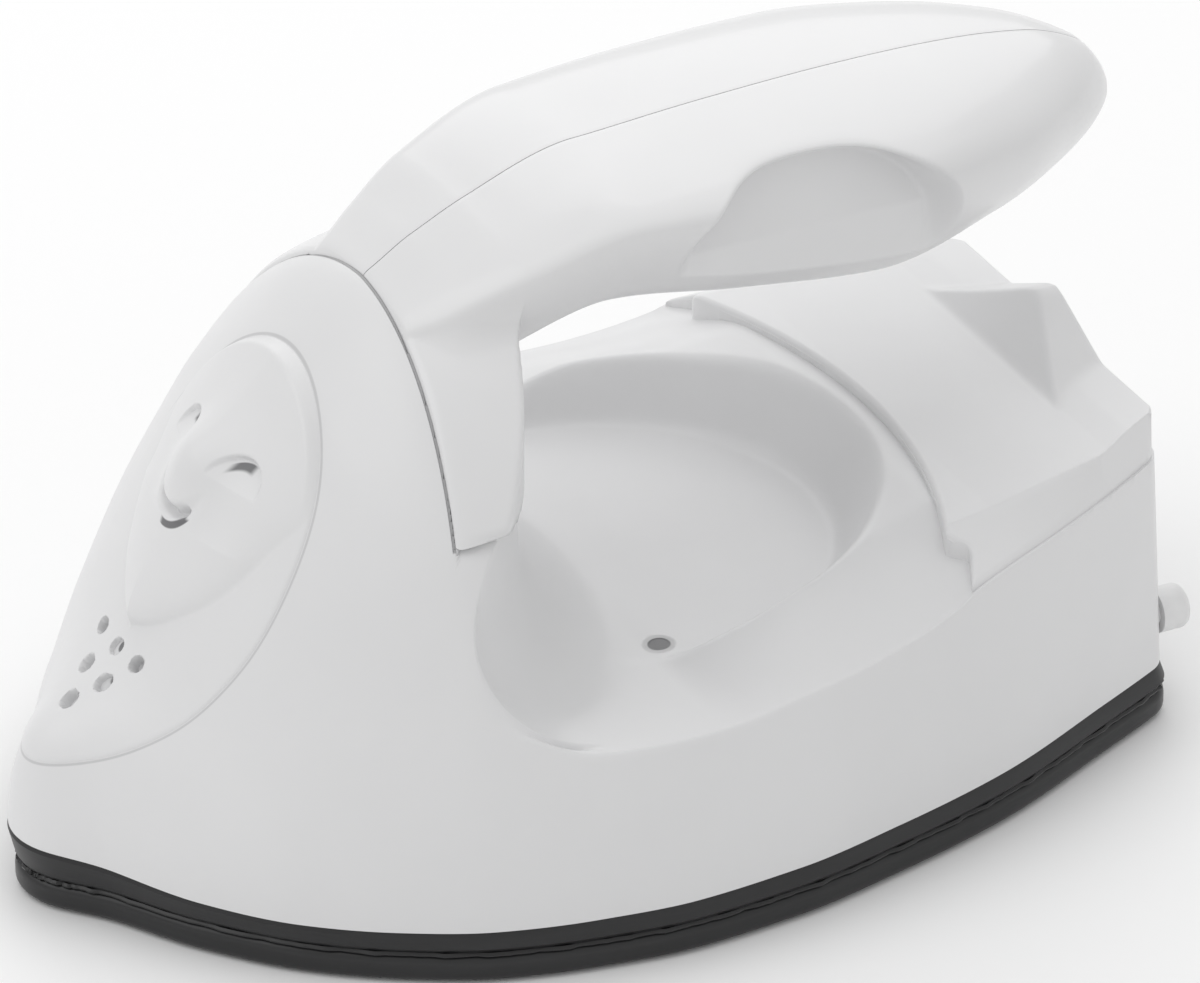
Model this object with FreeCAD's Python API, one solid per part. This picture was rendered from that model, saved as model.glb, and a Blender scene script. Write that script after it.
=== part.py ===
"""Mini handheld heat press: a small craft iron with a scooped deck and an overhanging handle.

Frame: millimetres, +Z up, nose towards -Y. The origin is on the underside of the sole, under the
middle of the sole's length. Every piece is written to parts/NAME.step.
"""
import FreeCAD
import Part
import math
import os

from FreeCAD import Vector

os.makedirs("parts", exist_ok=True)

# ---------------------------------------------------------------- driving dimensions
BODY_LENGTH = 96.3            # body shell, nose to tail
BODY_WIDTH = 65.0             # body shell, across the belly
CROWN_RISE = 44.2             # body's lower edge to its crown under the handle
HANDLE_REACH = 67.4           # collar's front edge to the handle's tip
HANDLE_WIDTH = 30.8           # across the widest part of the grip

# soleplate and base
SOLE_THICKNESS = 2.3          # lip of the casting
SOLE_OVERHANG = 0.3           # how far the lip stands out past the body
SOLE_EDGE_RADIUS = 0.9
SOLE_PLATEAU = 2.0            # raised inner part of the casting, above the lip
SOLE_MARGIN = 7.0             # lip's edge to the raised part
SKIRT_HEIGHT = 2.3            # visible black band
SKIRT_WIDTH = 5.0             # band's outside to its inside
SKIRT_TONGUE = 2.2            # upstand that locates the body shell
BEAD_SIZE = 0.5               # sealing bead in the skirt's lower corner
BEAD_FIT = 0.05

# mouldings
WALL = 1.8                    # body shell
HANDLE_WALL = 1.8
CAVITY_STEPS = (12.0, 19.0)   # half widths of the steps of its front room
CAVITY_MARGIN = 2.7           # fillet of the deck to the step behind it
CAVITY_REAR = 14.0            # half width of the high room under the rear cover
PLATE_WALL = 1.6              # nose plate
COVER_DEPTH = 1.5             # rear deck cover
FIT = 0.10                    # clearance of pieces that drop into each other
SCREW_FIT = 0.15              # radial clearance round a screw's shank

# collar between handle and body
COLLAR_BACK = 31.6            # nose to the collar's front edge, at the crown
COLLAR_SLOPE = 0.26           # how far that edge leans back, per unit of height
COLLAR_DROP = 13.4            # crown to the collar's lower edge
PILLAR_DEPTH = 12.3           # collar's front to the pillar's rear face, on the centre line
PILLAR_REACH = 23.0           # half width at which the pillar's rear face meets the flank

# finger hollows in the sides of the grip
SCALLOP_RADIUS = 24.0         # of the ball that cuts them
SCALLOP_X = 11.2              # its nearest point to the middle plane
SCALLOP_Y = 19.5
SCALLOP_RISE = 0.5            # its centre above the crown

# scooped deck
DECK_FLOOR = 13.8             # floor of the scoop above the body's lower edge
DECK_FILLET = 12.0            # front wall into floor
PLATEAU_RISE = 5.2            # floor to the plateau before the rear cover
PLATEAU_START = 0.0           # where the deck starts to climb
PLATEAU_FULL = 13.0           # where it is fully up
RIM_RISE = 3.4                # how far the scoop's rim climbs from belly to tail
DECK_FLAT = 0.62              # flat part of the plateau's half width
DISH_RADIUS = 22.0
DISH_FORWARD = 4.5            # dish centre, behind the middle of the sole
DISH_TAPER = 3.0              # radius lost from rim to floor

# rear deck cover
COVER_ARC_RADIUS = 55.0
COVER_ARC_FRONT = 29.4        # crest of the cover's curved front edge
COVER_STEP = 2.2              # its front edge above the plateau
COVER_CLIMB = 0.09            # slope of its top towards the tail
COVER_FLAT = 0.78             # flat part of its half width at the front
COVER_FLAT_TAIL = 0.95        # and at the tail, where the shoulder is narrow
COVER_EDGE = 0.4              # its edge above the rim, at the front
COVER_EDGE_CLIMB = 2.3        # how far that edge climbs to the tail
COVER_THIN = 0.25             # share of its depth lost at the flanks
PEAK_HEIGHT = 4.8             # pyramid bump above the cover
PEAK_HALF_BASE = 10.3
PEAK_FRONT = 41.0
PEAK_CREST = 46.2
PEAK_HALF_TAIL = 7.5
COVER_PEG_RADIUS = 1.5
COVER_PEG_LENGTH = 5.0
COVER_PEG_X = 15.0
COVER_PEG_Y = 33.0
WINDOW_LENGTH = 7.0           # service opening under the cover
WINDOW_WIDTH = 15.0
WINDOW_Y = 38.0

# nose plate, an ellipse seen from the front
PLATE_CENTRE = 23.7           # above the body's lower edge
PLATE_HALF_WIDTH = 12.9
PLATE_HALF_HEIGHT = 15.6
PLATE_LEDGE = 2.2             # width of the seat behind the plate
PLATE_BACK = -19.5            # the plate's oval is cut no further back than this
LEDGE_WALL = 1.4
NOSE_BUMP = (3.4, 2.6, 3.6, 25.2)   # half sizes across, out and up, and height above the lower edge
SLOT_SHARE = 0.35             # how much of the ring's height an eye or the smile leaves out
VENT_RADIUS = 0.8
VENT_PITCH = 3.35
VENT_ROWS = ((3, 16.3), (2, 14.2), (1, 12.2))
EYE_REACH = 4.5               # eye slot centre from the middle
EYE_HEIGHT = 32.3
EYE_RADIUS = 2.4
EYE_SLOT = 0.7
MOUTH_HEIGHT = 23.6
MOUTH_RADIUS = 2.6

# pilot lamp
LAMP_RADIUS = 1.0             # hole in the deck
LAMP_X = 16.6
LAMP_Y = 1.2
LED_RADIUS = 1.5
LED_HEIGHT = 3.6
LED_GAP = 0.3                 # lamp to the underside of the deck
LAMP_BOARD = 1.0
LAMP_BOARD_HALF = (4.0, 4.8)
LAMP_PIN_SPAN = 7.0
LAMP_PIN_RADIUS = 0.6

# heating stack, from the soleplate up
HEATER_LENGTH = 35.0
HEATER_WIDTH = 12.0
HEATER_THICKNESS = 2.5
CONTACT_THICKNESS = 0.5
MICA_THICKNESS = 0.4
CLAMP_THICKNESS = 1.2
STACK_Y = -3.0                # middle of the stack
CLAMP_SCREW_SPAN = 22.0       # between the two clamp screws, across the sole
CLAMP_GAP = 0.2               # posts stop this far short, so that the clamp presses
CLAMP_HALF = (14.0, 6.0)
TAB_LENGTH = 2.0              # terminal tabs of the contact plates
TAB_WIDTH = 3.0
TAB_OFFSET = 3.5

# shared fasteners
SCREW_RADIUS = 1.5            # M3
SCREW_HEAD_RADIUS = 2.7
SCREW_HEAD_HEIGHT = 1.6
SMALL_SCREW_RADIUS = 1.0      # M2
SMALL_HEAD_RADIUS = 1.9
SMALL_HEAD_HEIGHT = 1.1
THREAD_FIT = 0.02             # a screw in its tapped hole
BODY_SCREW_LENGTH = 8.0
CLAMP_SCREW_LENGTH = 5.0
HANDLE_SCREW_LENGTH = 8.0
CORD_SCREW_LENGTH = 6.0
POST_WALL = 1.7               # material round an M3 screw in a post

NOSE_SCREW_Y = -34.0
NOSE_POST = 3.4               # nose post above the raised part of the soleplate
NOSE_COLUMN = 3.0             # body column above it
NOSE_WEB = 2.4
TAIL_HEAD_SEAT = 2.4          # screw head above the carrier plate
TAIL_SCREW_X = 9.0
TAIL_SCREW_Y = 36.0
HANDLE_SCREW_X = 9.0
HANDLE_SCREW_Y = -14.6
CROSS_SCREWS = ((4.0, -1.5), (38.0, -0.5))   # (y, height above the crown) of the screws across the grip
CROSS_HEAD_X = -5.0           # where their heads sit in the left half
CROSS_REACH = 6.0             # how far they go into the right half
SMALL_BOSS_RADIUS = 2.8
HANDLE_BOSS = 9.0

# cord inlet
CORD_RADIUS = 2.3
CORD_FIT = 0.2
GLAND_RADIUS = 4.2            # flanges
GLAND_NECK_RADIUS = 3.4
GLAND_HEIGHT = 10.4           # above the body's lower edge
GLAND_FLANGE = 1.5
FOOT_RADIUS = 1.9
FOOT_REACH = 2.7
FOOT_HEIGHT = 3.4             # above the body's lower edge
FOOT_SPREAD = 14.6

# carrier plate for the terminals and the cord clamp
CARRIER_THICKNESS = 1.6
CARRIER_HEIGHT = 5.7          # its underside above the soleplate's raised part
CARRIER_HALF_WIDTH = 13.5
CARRIER_FRONT = 25.5
CARRIER_BACK = 44.0
TERMINAL_SIZE = (16.0, 5.6, 6.3)
TERMINAL_Y = 29.6
CLAMP_BAR_Y = 41.0
CLAMP_BAR_THICKNESS = 1.8
CLAMP_BAR_SPAN = 12.0         # between its two screws
CLAMP_POST_RADIUS = 2.3
SADDLE_LENGTH = 4.0
TERMINAL_BORE = 2.0           # depth of the wire holes

# heat shield
BAFFLE_HEIGHT = 8.1           # above the soleplate's raised part
BAFFLE_THICKNESS = 0.5
BAFFLE_HALF_WIDTH = 12.0
BAFFLE_HALF_LENGTH = 22.0
BAFFLE_Y = -5.0
BAFFLE_LEG_SPREAD = 16.0
BAFFLE_LEG_WIDTH = 4.0
PAD_THICKNESS = 2.0
PAD_MARGIN = 0.6

# thermal fuse
FUSE_RADIUS = 1.9
FUSE_LENGTH = 9.0
FUSE_Y = 20.5
FUSE_STRAP = 0.5
FUSE_STUB = 2.0
FUSE_CLIP_WIDTH = 4.0
FUSE_SCREW_LENGTH = 2.4

RESISTOR_RADIUS = 0.9
RESISTOR_LENGTH = 4.4
LEAD_RADIUS = 0.7             # insulated internal lead

# ---------------------------------------------------------------- levels worked out from them
BASE = SOLE_THICKNESS + SKIRT_HEIGHT
NOSE = -BODY_LENGTH / 2
TAIL = BODY_LENGTH / 2
HALF_WIDTH = BODY_WIDTH / 2
CROWN = BASE + CROWN_RISE
COLLAR_Y = NOSE + COLLAR_BACK
SEAT = CROWN - COLLAR_DROP
FLOOR = BASE + DECK_FLOOR
PLATEAU = FLOOR + PLATEAU_RISE
PLATFORM = SOLE_THICKNESS + SOLE_PLATEAU
BACK_START = COVER_ARC_FRONT - 6.5   # the deck starts to follow the cover's underside here
BIG = 200.0                   # reach of construction solids, past the whole object
NOSE_FLAT = 0.03              # the nose of the lofts starts this far in
HULL_CROWDING = 0.95          # sections crowd together towards the nose
OUTLINE_STEPS = 16            # points along one side of the outline
OUTLINE_STEP = 0.05           # for its slope
POST_RADIUS = SCREW_RADIUS + POST_WALL
STACK_LOW = PLATFORM + MICA_THICKNESS
HEATER_LOW = STACK_LOW + CONTACT_THICKNESS
HEATER_TOP = HEATER_LOW + HEATER_THICKNESS
STACK_TOP = HEATER_TOP + CONTACT_THICKNESS + MICA_THICKNESS
CARRIER_LOW = PLATFORM + CARRIER_HEIGHT
CARRIER_TOP = CARRIER_LOW + CARRIER_THICKNESS
CORD_Z = BASE + GLAND_HEIGHT
BAFFLE_LOW = PLATFORM + BAFFLE_HEIGHT

# Shape of the body, as (fraction of its length from the nose, fraction of the half width).
OUTLINE = ((0.0, 0.0), (0.044, 0.222), (0.096, 0.458), (0.156, 0.655), (0.223, 0.800), (0.297, 0.908),
           (0.379, 0.969), (0.466, 1.0), (0.564, 0.982), (0.670, 0.917), (0.783, 0.822), (0.911, 0.652),
           (1.0, 0.510))
# Height of the elliptical sections, as (fraction of the length, fraction of the crown's rise).
# Behind the collar the ellipse is cut off by the deck, and only its steepening flanks are left.
SECTION_RISE = ((0.0, 0.0), (0.0114, 0.160), (0.028, 0.230), (0.055, 0.278), (0.0997, 0.364),
                (0.1475, 0.520), (0.195, 0.690), (0.2285, 0.796), (0.2596, 0.880), (0.328, 1.0),
                (0.4185, 1.05), (0.5016, 1.095), (0.657, 1.34), (0.813, 2.16), (1.0, 3.5))
# Handle sections: (behind the collar, half width over the grip's, top, ridge and bottom above the crown).
GRIP = ((-4.0, 0.46, -2.4, -4.2, -13.2), (0.7, 0.56, 0.5, -1.3, -12.6), (8.7, 0.766, 4.8, 2.7, -9.0),
        (18.7, 0.883, 7.3, 5.5, -6.1), (30.7, 0.974, 8.5, 5.1, -7.9), (42.7, 1.0, 8.8, 4.6, -9.5),
        (52.7, 0.844, 8.5, 3.9, -6.6), (59.7, 0.565, 7.6, 3.3, -3.8), (64.7, 0.260, 5.4, 2.2, -1.3))
GRIP_TIP_RISE = 0.7           # tip of the handle above the crown
GRIP_TOP_POWER = 2.3          # fullness of the grip's upper half section
GRIP_LOW_POWER = 1.6          # and of its lower half
GRIP_REFERENCE = 67.4         # reach at which the sections above are spaced
GRIP_STEPS = 12               # ruled strips along the handle


# ---------------------------------------------------------------- curves and small solids
def smooth_curve(points):
    """A monotone cubic through (t, value) points, as a function; flat beyond its ends."""
    count = len(points)
    slopes = [(points[i + 1][1] - points[i][1]) / (points[i + 1][0] - points[i][0])
              for i in range(count - 1)]
    tangents = [slopes[0]]
    for before, after in zip(slopes, slopes[1:]):
        tangents.append(0.0 if before * after <= 0 else 2 * before * after / (before + after))
    tangents.append(slopes[-1])

    def value(t):
        if t <= points[0][0]:
            return points[0][1]
        if t >= points[-1][0]:
            return points[-1][1]
        i = max(k for k in range(count - 1) if points[k][0] <= t)
        step = points[i + 1][0] - points[i][0]
        s = (t - points[i][0]) / step
        return (points[i][1] * (1 + 2 * s) * (1 - s) ** 2 + tangents[i] * step * s * (1 - s) ** 2
                + points[i + 1][1] * s * s * (3 - 2 * s) - tangents[i + 1] * step * s * s * (1 - s))

    return value


_outline_square = smooth_curve([(t, w * w) for t, w in OUTLINE])
_rise_square = smooth_curve([(t, h * h) for t, h in SECTION_RISE])


def half_width(y):
    """Half width of the body's lower edge at y."""
    return HALF_WIDTH * math.sqrt(max(_outline_square((y - NOSE) / BODY_LENGTH), 0.0))


def section_rise(y):
    """Height of the body's elliptical section at y, above the lower edge."""
    return CROWN_RISE * math.sqrt(max(_rise_square((y - NOSE) / BODY_LENGTH), 0.0))


def box(x0, x1, y0, y1, z0, z1):
    """A block between opposite corners."""
    return Part.makeBox(x1 - x0, y1 - y0, z1 - z0, Vector(x0, y0, z0))


def post(x, y, z0, z1, radius):
    """An upright cylinder."""
    return Part.makeCylinder(radius, z1 - z0, Vector(x, y, z0))


def rod(start, direction, radius, length):
    """A cylinder along any direction."""
    return Part.makeCylinder(radius, length, Vector(*start), Vector(*direction))


def fused(shapes):
    """One shape from many, joined in order."""
    whole = shapes[0]
    for shape in shapes[1:]:
        whole = whole.fuse(shape)
    return whole


def cut_by(shape, cutters):
    """A shape less each of the cutters, in order."""
    for cutter in cutters:
        shape = shape.cut(cutter)
    return shape


def screw(x, y, head_z, length, radius, head_radius, head_height, down=True):
    """A pan head screw with its head's underside at head_z and its shank going down or up."""
    sign = -1 if down else 1
    shank = rod((x, y, head_z), (0, 0, sign), radius, length)
    head = rod((x, y, head_z), (0, 0, -sign), head_radius, head_height)
    rim = [edge for edge in head.Edges if abs(edge.BoundBox.ZMin - (head_z - sign * head_height)) < 1e-6
           and abs(edge.BoundBox.ZMax - edge.BoundBox.ZMin) < 1e-6]
    head = head.makeFillet(0.45 * head_height, rim)
    slot_z = head_z - sign * head_height
    slot = box(x - head_radius, x + head_radius, y - 0.3, y + 0.3,
               min(slot_z, slot_z + sign * 0.6), max(slot_z, slot_z + sign * 0.6))
    return fused([shank, head]).cut(slot)


def outline_wire(inset, z):
    """The body's outline in plan, moved inwards by inset along its normals, at height z."""
    last = TAIL - inset
    side = []
    for i in range(OUTLINE_STEPS):
        y = NOSE + BODY_LENGTH * (1 - math.cos(math.pi / 2 * (i + 1) / OUTLINE_STEPS))
        slope = (half_width(y) - half_width(y - OUTLINE_STEP)) / OUTLINE_STEP
        scale = inset / math.hypot(1.0, slope)
        point = Vector(half_width(y) - scale, y + slope * scale, z)
        if point.x > 1.0 and point.y > NOSE + inset + 0.3 and point.y < last - 1.0:
            side.append(point)
    run = side[-1] - side[-2]
    side.append(side[-1] + run * ((last - side[-1].y) / run.y))
    left = [Vector(-point.x, point.y, z) for point in reversed(side)]
    curve = Part.BSplineCurve()
    curve.interpolate(left + [Vector(0, NOSE + inset, z)] + side)
    tail = Part.LineSegment(side[-1], left[0])
    return Part.Wire([curve.toShape(), tail.toShape()])


def outline_slab(inset, z0, z1):
    """A plate of the body's outline."""
    return Part.Face(outline_wire(inset, z0)).extrude(Vector(0, 0, z1 - z0))


# ---------------------------------------------------------------- the body's outer form
def hull(inset):
    """Whole elliptical sections from nose to tail, moved inwards by inset; lower halves are cut off later."""
    wires = []
    steps = 16
    start = NOSE + inset + NOSE_FLAT
    span = TAIL - inset - start
    for i in range(steps):
        share = i / (steps - 1)
        y = start + span * (share + (share * share - share) * HULL_CROWDING)
        reach = y - inset * (1 - (y - start) / span)
        least = 0.3 + 0.3 * i
        wide = max(half_width(reach) - inset, least)
        tall = max(section_rise(reach) - inset, least)
        wires.append(section_wire(wide, tall, y))
    return Part.makeLoft(wires, True, True)


def section_wire(wide, tall, y):
    """An ellipse about the body's lower edge."""
    count = 16
    points = []
    for i in range(count):
        angle = 2 * math.pi * i / count - math.pi / 2
        points.append(Vector(wide * math.cos(angle), y, BASE + tall * math.sin(angle)))
    curve = Part.BSplineCurve()
    curve.interpolate(points, True)
    return Part.Wire(curve.toShape())


def pillar_rear(x):
    """Y of the pillar's rear face: bulging on the centre line, meeting the flanks at its reach."""
    share = min(abs(x) / PILLAR_REACH, 1.0)
    return COLLAR_Y - 2.9 + PILLAR_DEPTH * math.sqrt(1 - share * share)


_climb = smooth_curve([(PLATEAU_START, 0.0), ((PLATEAU_START + PLATEAU_FULL) / 2, 0.62),
                       (PLATEAU_FULL, 1.0)])
_seat_blend = smooth_curve([(BACK_START, 0.0), (BACK_START + 4.0, 0.5), (BACK_START + 8.0, 1.0)])


def smooth_step(share):
    """0 to 1 with flat ends."""
    share = min(max(share, 0.0), 1.0)
    return share * share * (3 - 2 * share)


def cover_top(x, y):
    """Height of the rear cover's top, and how far down its shoulder the point lies (0 to 1)."""
    share = min(max((y - COVER_ARC_FRONT) / (TAIL - COVER_ARC_FRONT), -0.25), 1.0)
    middle = PLATEAU + COVER_STEP + COVER_CLIMB * (TAIL - COVER_ARC_FRONT) * share
    edge = half_width(min(y, TAIL))
    inner = edge * (COVER_FLAT + (COVER_FLAT_TAIL - COVER_FLAT) * max(share, 0.0))
    low = FLOOR + RIM_RISE + COVER_EDGE + COVER_EDGE_CLIMB * share
    fall = min(max((abs(x) - inner) / (edge - inner), 0.0), 1.2)
    return middle - (middle - low) * fall, fall


def deck_height(x, y):
    """Height of the deck round the dish: a plateau that falls away to a lower rim at the flanks."""
    rim = FLOOR + RIM_RISE * max(0.0, y / TAIL) ** 1.1
    plateau = FLOOR + PLATEAU_RISE * _climb(y)
    edge = half_width(min(y, TAIL))
    inner = DECK_FLAT * edge
    height = plateau + (rim - plateau) * smooth_step((abs(x) - inner) / (edge - inner))
    top, fall = cover_top(x, y)
    seat = top - COVER_DEPTH * (1 - COVER_THIN * min(fall, 1.0))
    return height + (seat - height) * _seat_blend(y)


def scoop():
    """What the scooped deck takes out of the hull: lofted across X from upright profiles."""
    wires = []
    steps = 10
    reach = HALF_WIDTH + 6
    bend = DECK_FILLET * (1 - math.sqrt(0.5))
    last = TAIL + 4
    for i in range(-steps, steps + 1):
        x = reach * i / steps
        front = pillar_rear(x)
        foot = Vector(x, front, FLOOR + DECK_FILLET)
        toe = Vector(x, front + DECK_FILLET, FLOOR)
        middle = Vector(x, front + bend, FLOOR + bend)
        run = [toe]
        for k in range(1, 9):
            y = toe.y + (last - toe.y) * k / 8
            run.append(Vector(x, y, deck_height(x, y)))
        floor_curve = Part.BSplineCurve()
        floor_curve.interpolate(run)
        top_back = Vector(x, last, BIG)
        top_front = Vector(x, front, BIG)
        wires.append(Part.Wire([Part.LineSegment(top_front, foot).toShape(),
                                Part.Arc(foot, middle, toe).toShape(),
                                floor_curve.toShape(),
                                Part.LineSegment(run[-1], top_back).toShape(),
                                Part.LineSegment(top_back, top_front).toShape()]))
    return Part.makeLoft(wires, True, True, False, 5)


def front_block(shift):
    """Everything in front of the pillar's rear face, moved back by shift."""
    steps = 12
    rear = []
    for i in range(-steps, steps + 1):
        x = PILLAR_REACH * math.sin(math.pi / 2 * i / steps)
        rear.append(Vector(x, pillar_rear(x) + shift, 0))
    curve = Part.BSplineCurve()
    curve.interpolate(rear)
    far = pillar_rear(BIG) + shift
    rest = Part.makePolygon([rear[-1], Vector(BIG, far, 0), Vector(BIG, -BIG, 0), Vector(-BIG, -BIG, 0),
                             Vector(-BIG, far, 0), rear[0]])
    return Part.Face(Part.Wire([curve.toShape()] + rest.Edges)).extrude(Vector(0, 0, BIG))


def dish():
    """The round dish in the deck, a short cone behind the foot of the pillar."""
    cone = Part.makeCone(DISH_RADIUS - DISH_TAPER, DISH_RADIUS + DISH_TAPER, 2 * PLATEAU_RISE,
                         Vector(0, DISH_FORWARD, FLOOR))
    return cone.cut(front_block(DECK_FILLET))


def collar_region(inset):
    """Everything behind the collar's leaning front edge and above its lower edge."""
    front = COLLAR_Y - inset
    drop = BIG
    back = front - COLLAR_SLOPE * (CROWN - SEAT + inset)
    outline = [Vector(-BIG, front, CROWN), Vector(-BIG, back, SEAT - inset),
               Vector(-BIG, BIG, SEAT - inset), Vector(-BIG, BIG, CROWN + drop),
               Vector(-BIG, front + COLLAR_SLOPE * drop, CROWN + drop)]
    return Part.Face(Part.makePolygon(outline + outline[:1])).extrude(Vector(2 * BIG, 0, 0))


def body_form():
    """The body's outer form, solid."""
    form = cut_by(hull(0), [scoop(), collar_region(0), dish()])
    return form.common(box(-BIG, BIG, -BIG, BIG, BASE, BIG))


def side_profile(half_x, outline):
    """A prism between -half_x and half_x, from its outline in (y, z)."""
    points = [Vector(-half_x, y, z) for y, z in outline]
    return Part.Face(Part.makePolygon(points + points[:1])).extrude(Vector(2 * half_x, 0, 0))


def cavity():
    """The hollow of the body: the inner hull, below the deck and behind the nose."""
    open_base = BASE - 1
    ceiling = FLOOR - WALL
    under_seat = SEAT - WALL
    far = -BIG
    blocks = [side_profile(BIG, [(far, open_base), (BIG, open_base), (BIG, ceiling), (far, ceiling)])]
    lean = COLLAR_Y - WALL
    # three depths of the front room, stepped to follow the bulging rear face of the pillar
    radius = DECK_FILLET + CAVITY_MARGIN
    for half_x in CAVITY_STEPS:
        middle = pillar_rear(half_x) + DECK_FILLET
        low = FLOOR + DECK_FILLET
        blocks.append(side_profile(half_x, [
            (far, open_base), (middle, open_base), (middle, low - radius),
            (middle - radius * math.sqrt(0.5), low - radius * math.sqrt(0.5)), (middle - radius, low),
            (middle - radius, under_seat), (lean - COLLAR_SLOPE * (CROWN - under_seat), under_seat),
            (lean, CROWN), (far, CROWN)]))
    front_lean = lean - COLLAR_SLOPE * (CROWN - under_seat)
    blocks.append(side_profile(BIG, [(far, open_base), (front_lean, open_base), (front_lean, under_seat),
                                     (lean, CROWN), (far, CROWN)]))
    behind = DISH_FORWARD + DISH_RADIUS
    back = TAIL - WALL
    blocks.append(box(-BIG, BIG, behind, back, open_base, ceiling + PLATEAU_RISE / 2))
    blocks.append(box(-CAVITY_REAR, CAVITY_REAR, behind + WALL, back, open_base, ceiling + PLATEAU_RISE))
    return hull(WALL).common(fused(blocks))


# ---------------------------------------------------------------- the handle's outer form
def grip_section(y, half, top, ridge, bottom, inset):
    """A closed section: a flat crown above the ridge line, a deeper keel below it."""
    points = []
    count = 20
    half = max(half - inset, 0.25)
    top = max(top - inset, ridge + 0.2)
    bottom = min(bottom + inset, ridge - 0.2)
    for i in range(count):
        angle = 2 * math.pi * i / count
        cosine = math.cos(angle)
        sine = math.sin(angle)
        power = GRIP_TOP_POWER if sine >= 0 else GRIP_LOW_POWER
        x = half * math.copysign(abs(cosine) ** (2 / power), cosine)
        lift = abs(sine) ** (2 / power)
        z = ridge + (top - ridge) * lift if sine >= 0 else ridge - (ridge - bottom) * lift
        points.append(Vector(x, y, z))
    curve = Part.BSplineCurve()
    curve.interpolate(points, True)
    return Part.Wire(curve.toShape())


def grip(inset):
    """The handle from inside the collar to its tip: ruled between sections on smooth curves."""
    stretch = HANDLE_REACH / GRIP_REFERENCE
    sizes = (HANDLE_WIDTH / 2, 1.0, 1.0, 1.0)
    curves = [smooth_curve([(row[0] * stretch, row[k + 1] * sizes[k]) for row in GRIP]) for k in range(4)]
    first = GRIP[0][0] * stretch
    last = GRIP[-1][0] * stretch
    wires = []
    for i in range(GRIP_STEPS + 1):
        along = first + (last - first) * i / GRIP_STEPS
        half, top, ridge, bottom = [curve(along) for curve in curves]
        wires.append(grip_section(COLLAR_Y + along, half, CROWN + top, CROWN + ridge, CROWN + bottom, inset))
    half, top, ridge, bottom = [curve(last) for curve in curves]
    reach = HANDLE_REACH - inset - last
    for share, size in ((0.6, 0.72), (0.9, 0.42), (1.0, 0.15)):
        middle = CROWN + ridge + (GRIP_TIP_RISE - ridge) * share
        wires.append(grip_section(COLLAR_Y + last + reach * share, (half - inset / 2) * size,
                                  middle + (top - ridge - inset / 2) * size, middle,
                                  middle - (ridge - bottom - inset / 2) * size, 0.0))
    return Part.makeLoft(wires, True, True)


def pillar(inset):
    """The band of the hull that the collar covers, down to its lower edge."""
    return hull(inset).common(front_block(-inset)).common(collar_region(-inset))


# ---------------------------------------------------------------- base
def clamp_screw_points():
    """The two screws of the heater clamp, either side of the heater."""
    return [(side * CLAMP_SCREW_SPAN / 2, STACK_Y) for side in (-1, 1)]


def body_screw_points():
    """The screws that hold body and soleplate together: one at the nose, two at the tail."""
    return [(0.0, NOSE_SCREW_Y), (-TAIL_SCREW_X, TAIL_SCREW_Y), (TAIL_SCREW_X, TAIL_SCREW_Y)]


def tapped(x, y, z0, z1, radius=SCREW_RADIUS):
    """The hole of a tapped post."""
    return post(x, y, z0, z1, radius + THREAD_FIT)


def soleplate():
    """Casting: a lip all round, a raised inner part, and posts for the screws."""
    lip = outline_slab(-SOLE_OVERHANG, 0.0, SOLE_THICKNESS)
    rims = [edge for edge in lip.Edges if edge.BoundBox.ZMax - edge.BoundBox.ZMin < 1e-6]
    lip = lip.makeFillet(SOLE_EDGE_RADIUS, rims)
    shapes = [lip, outline_slab(SOLE_MARGIN, SOLE_THICKNESS / 2, PLATFORM)]
    tops = {0: PLATFORM + NOSE_POST, 1: CARRIER_LOW, 2: CARRIER_LOW}
    holes = []
    for i, (x, y) in enumerate(body_screw_points()):
        shapes.append(post(x, y, SOLE_THICKNESS, tops[i], POST_RADIUS))
        holes.append(tapped(x, y, SOLE_THICKNESS, tops[i] + 1))
    for x, y in clamp_screw_points():
        shapes.append(post(x, y, SOLE_THICKNESS, STACK_TOP - CLAMP_GAP, POST_RADIUS - 0.6))
        holes.append(tapped(x, y, SOLE_THICKNESS, STACK_TOP))
    holes.append(tapped(0.0, FUSE_Y + fuse_foot(), SOLE_THICKNESS, PLATFORM + 1, SMALL_SCREW_RADIUS))
    return cut_by(fused(shapes), holes)


def sole_skirt():
    """Heat-proof ring under the body, with a tongue inside it and a corner cut for the bead."""
    ring = outline_slab(0.0, SOLE_THICKNESS, BASE).cut(outline_slab(SKIRT_WIDTH, 0.0, BIG))
    tongue = outline_slab(WALL + FIT, BASE, BASE + SKIRT_TONGUE).cut(outline_slab(SKIRT_WIDTH, 0.0, BIG))
    tongue = tongue.common(hull(WALL + FIT))
    corner = outline_slab(-1.0, 0.0, SOLE_THICKNESS + BEAD_SIZE + BEAD_FIT)
    corner = corner.cut(outline_slab(BEAD_SIZE + BEAD_FIT, 0.0, BIG))
    return ring.fuse(tongue).cut(corner)


def sealing_bead():
    """Bead of sealant between lip and skirt."""
    strip = outline_slab(0.0, SOLE_THICKNESS, SOLE_THICKNESS + BEAD_SIZE)
    return strip.cut(outline_slab(BEAD_SIZE, 0.0, BIG))


# ---------------------------------------------------------------- body shell
def front_ellipse(shrink, y0, y1):
    """The nose plate's oval, moved inwards by shrink, as a bar along Y."""
    half_high = PLATE_HALF_HEIGHT - shrink
    half_wide = PLATE_HALF_WIDTH - shrink
    oval = Part.Ellipse(Vector(0, y0, BASE + PLATE_CENTRE + half_high), Vector(half_wide, y0, BASE + PLATE_CENTRE),
                        Vector(0, y0, BASE + PLATE_CENTRE))
    return Part.Face(Part.Wire(oval.toShape())).extrude(Vector(0, y1 - y0, 0))


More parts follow.
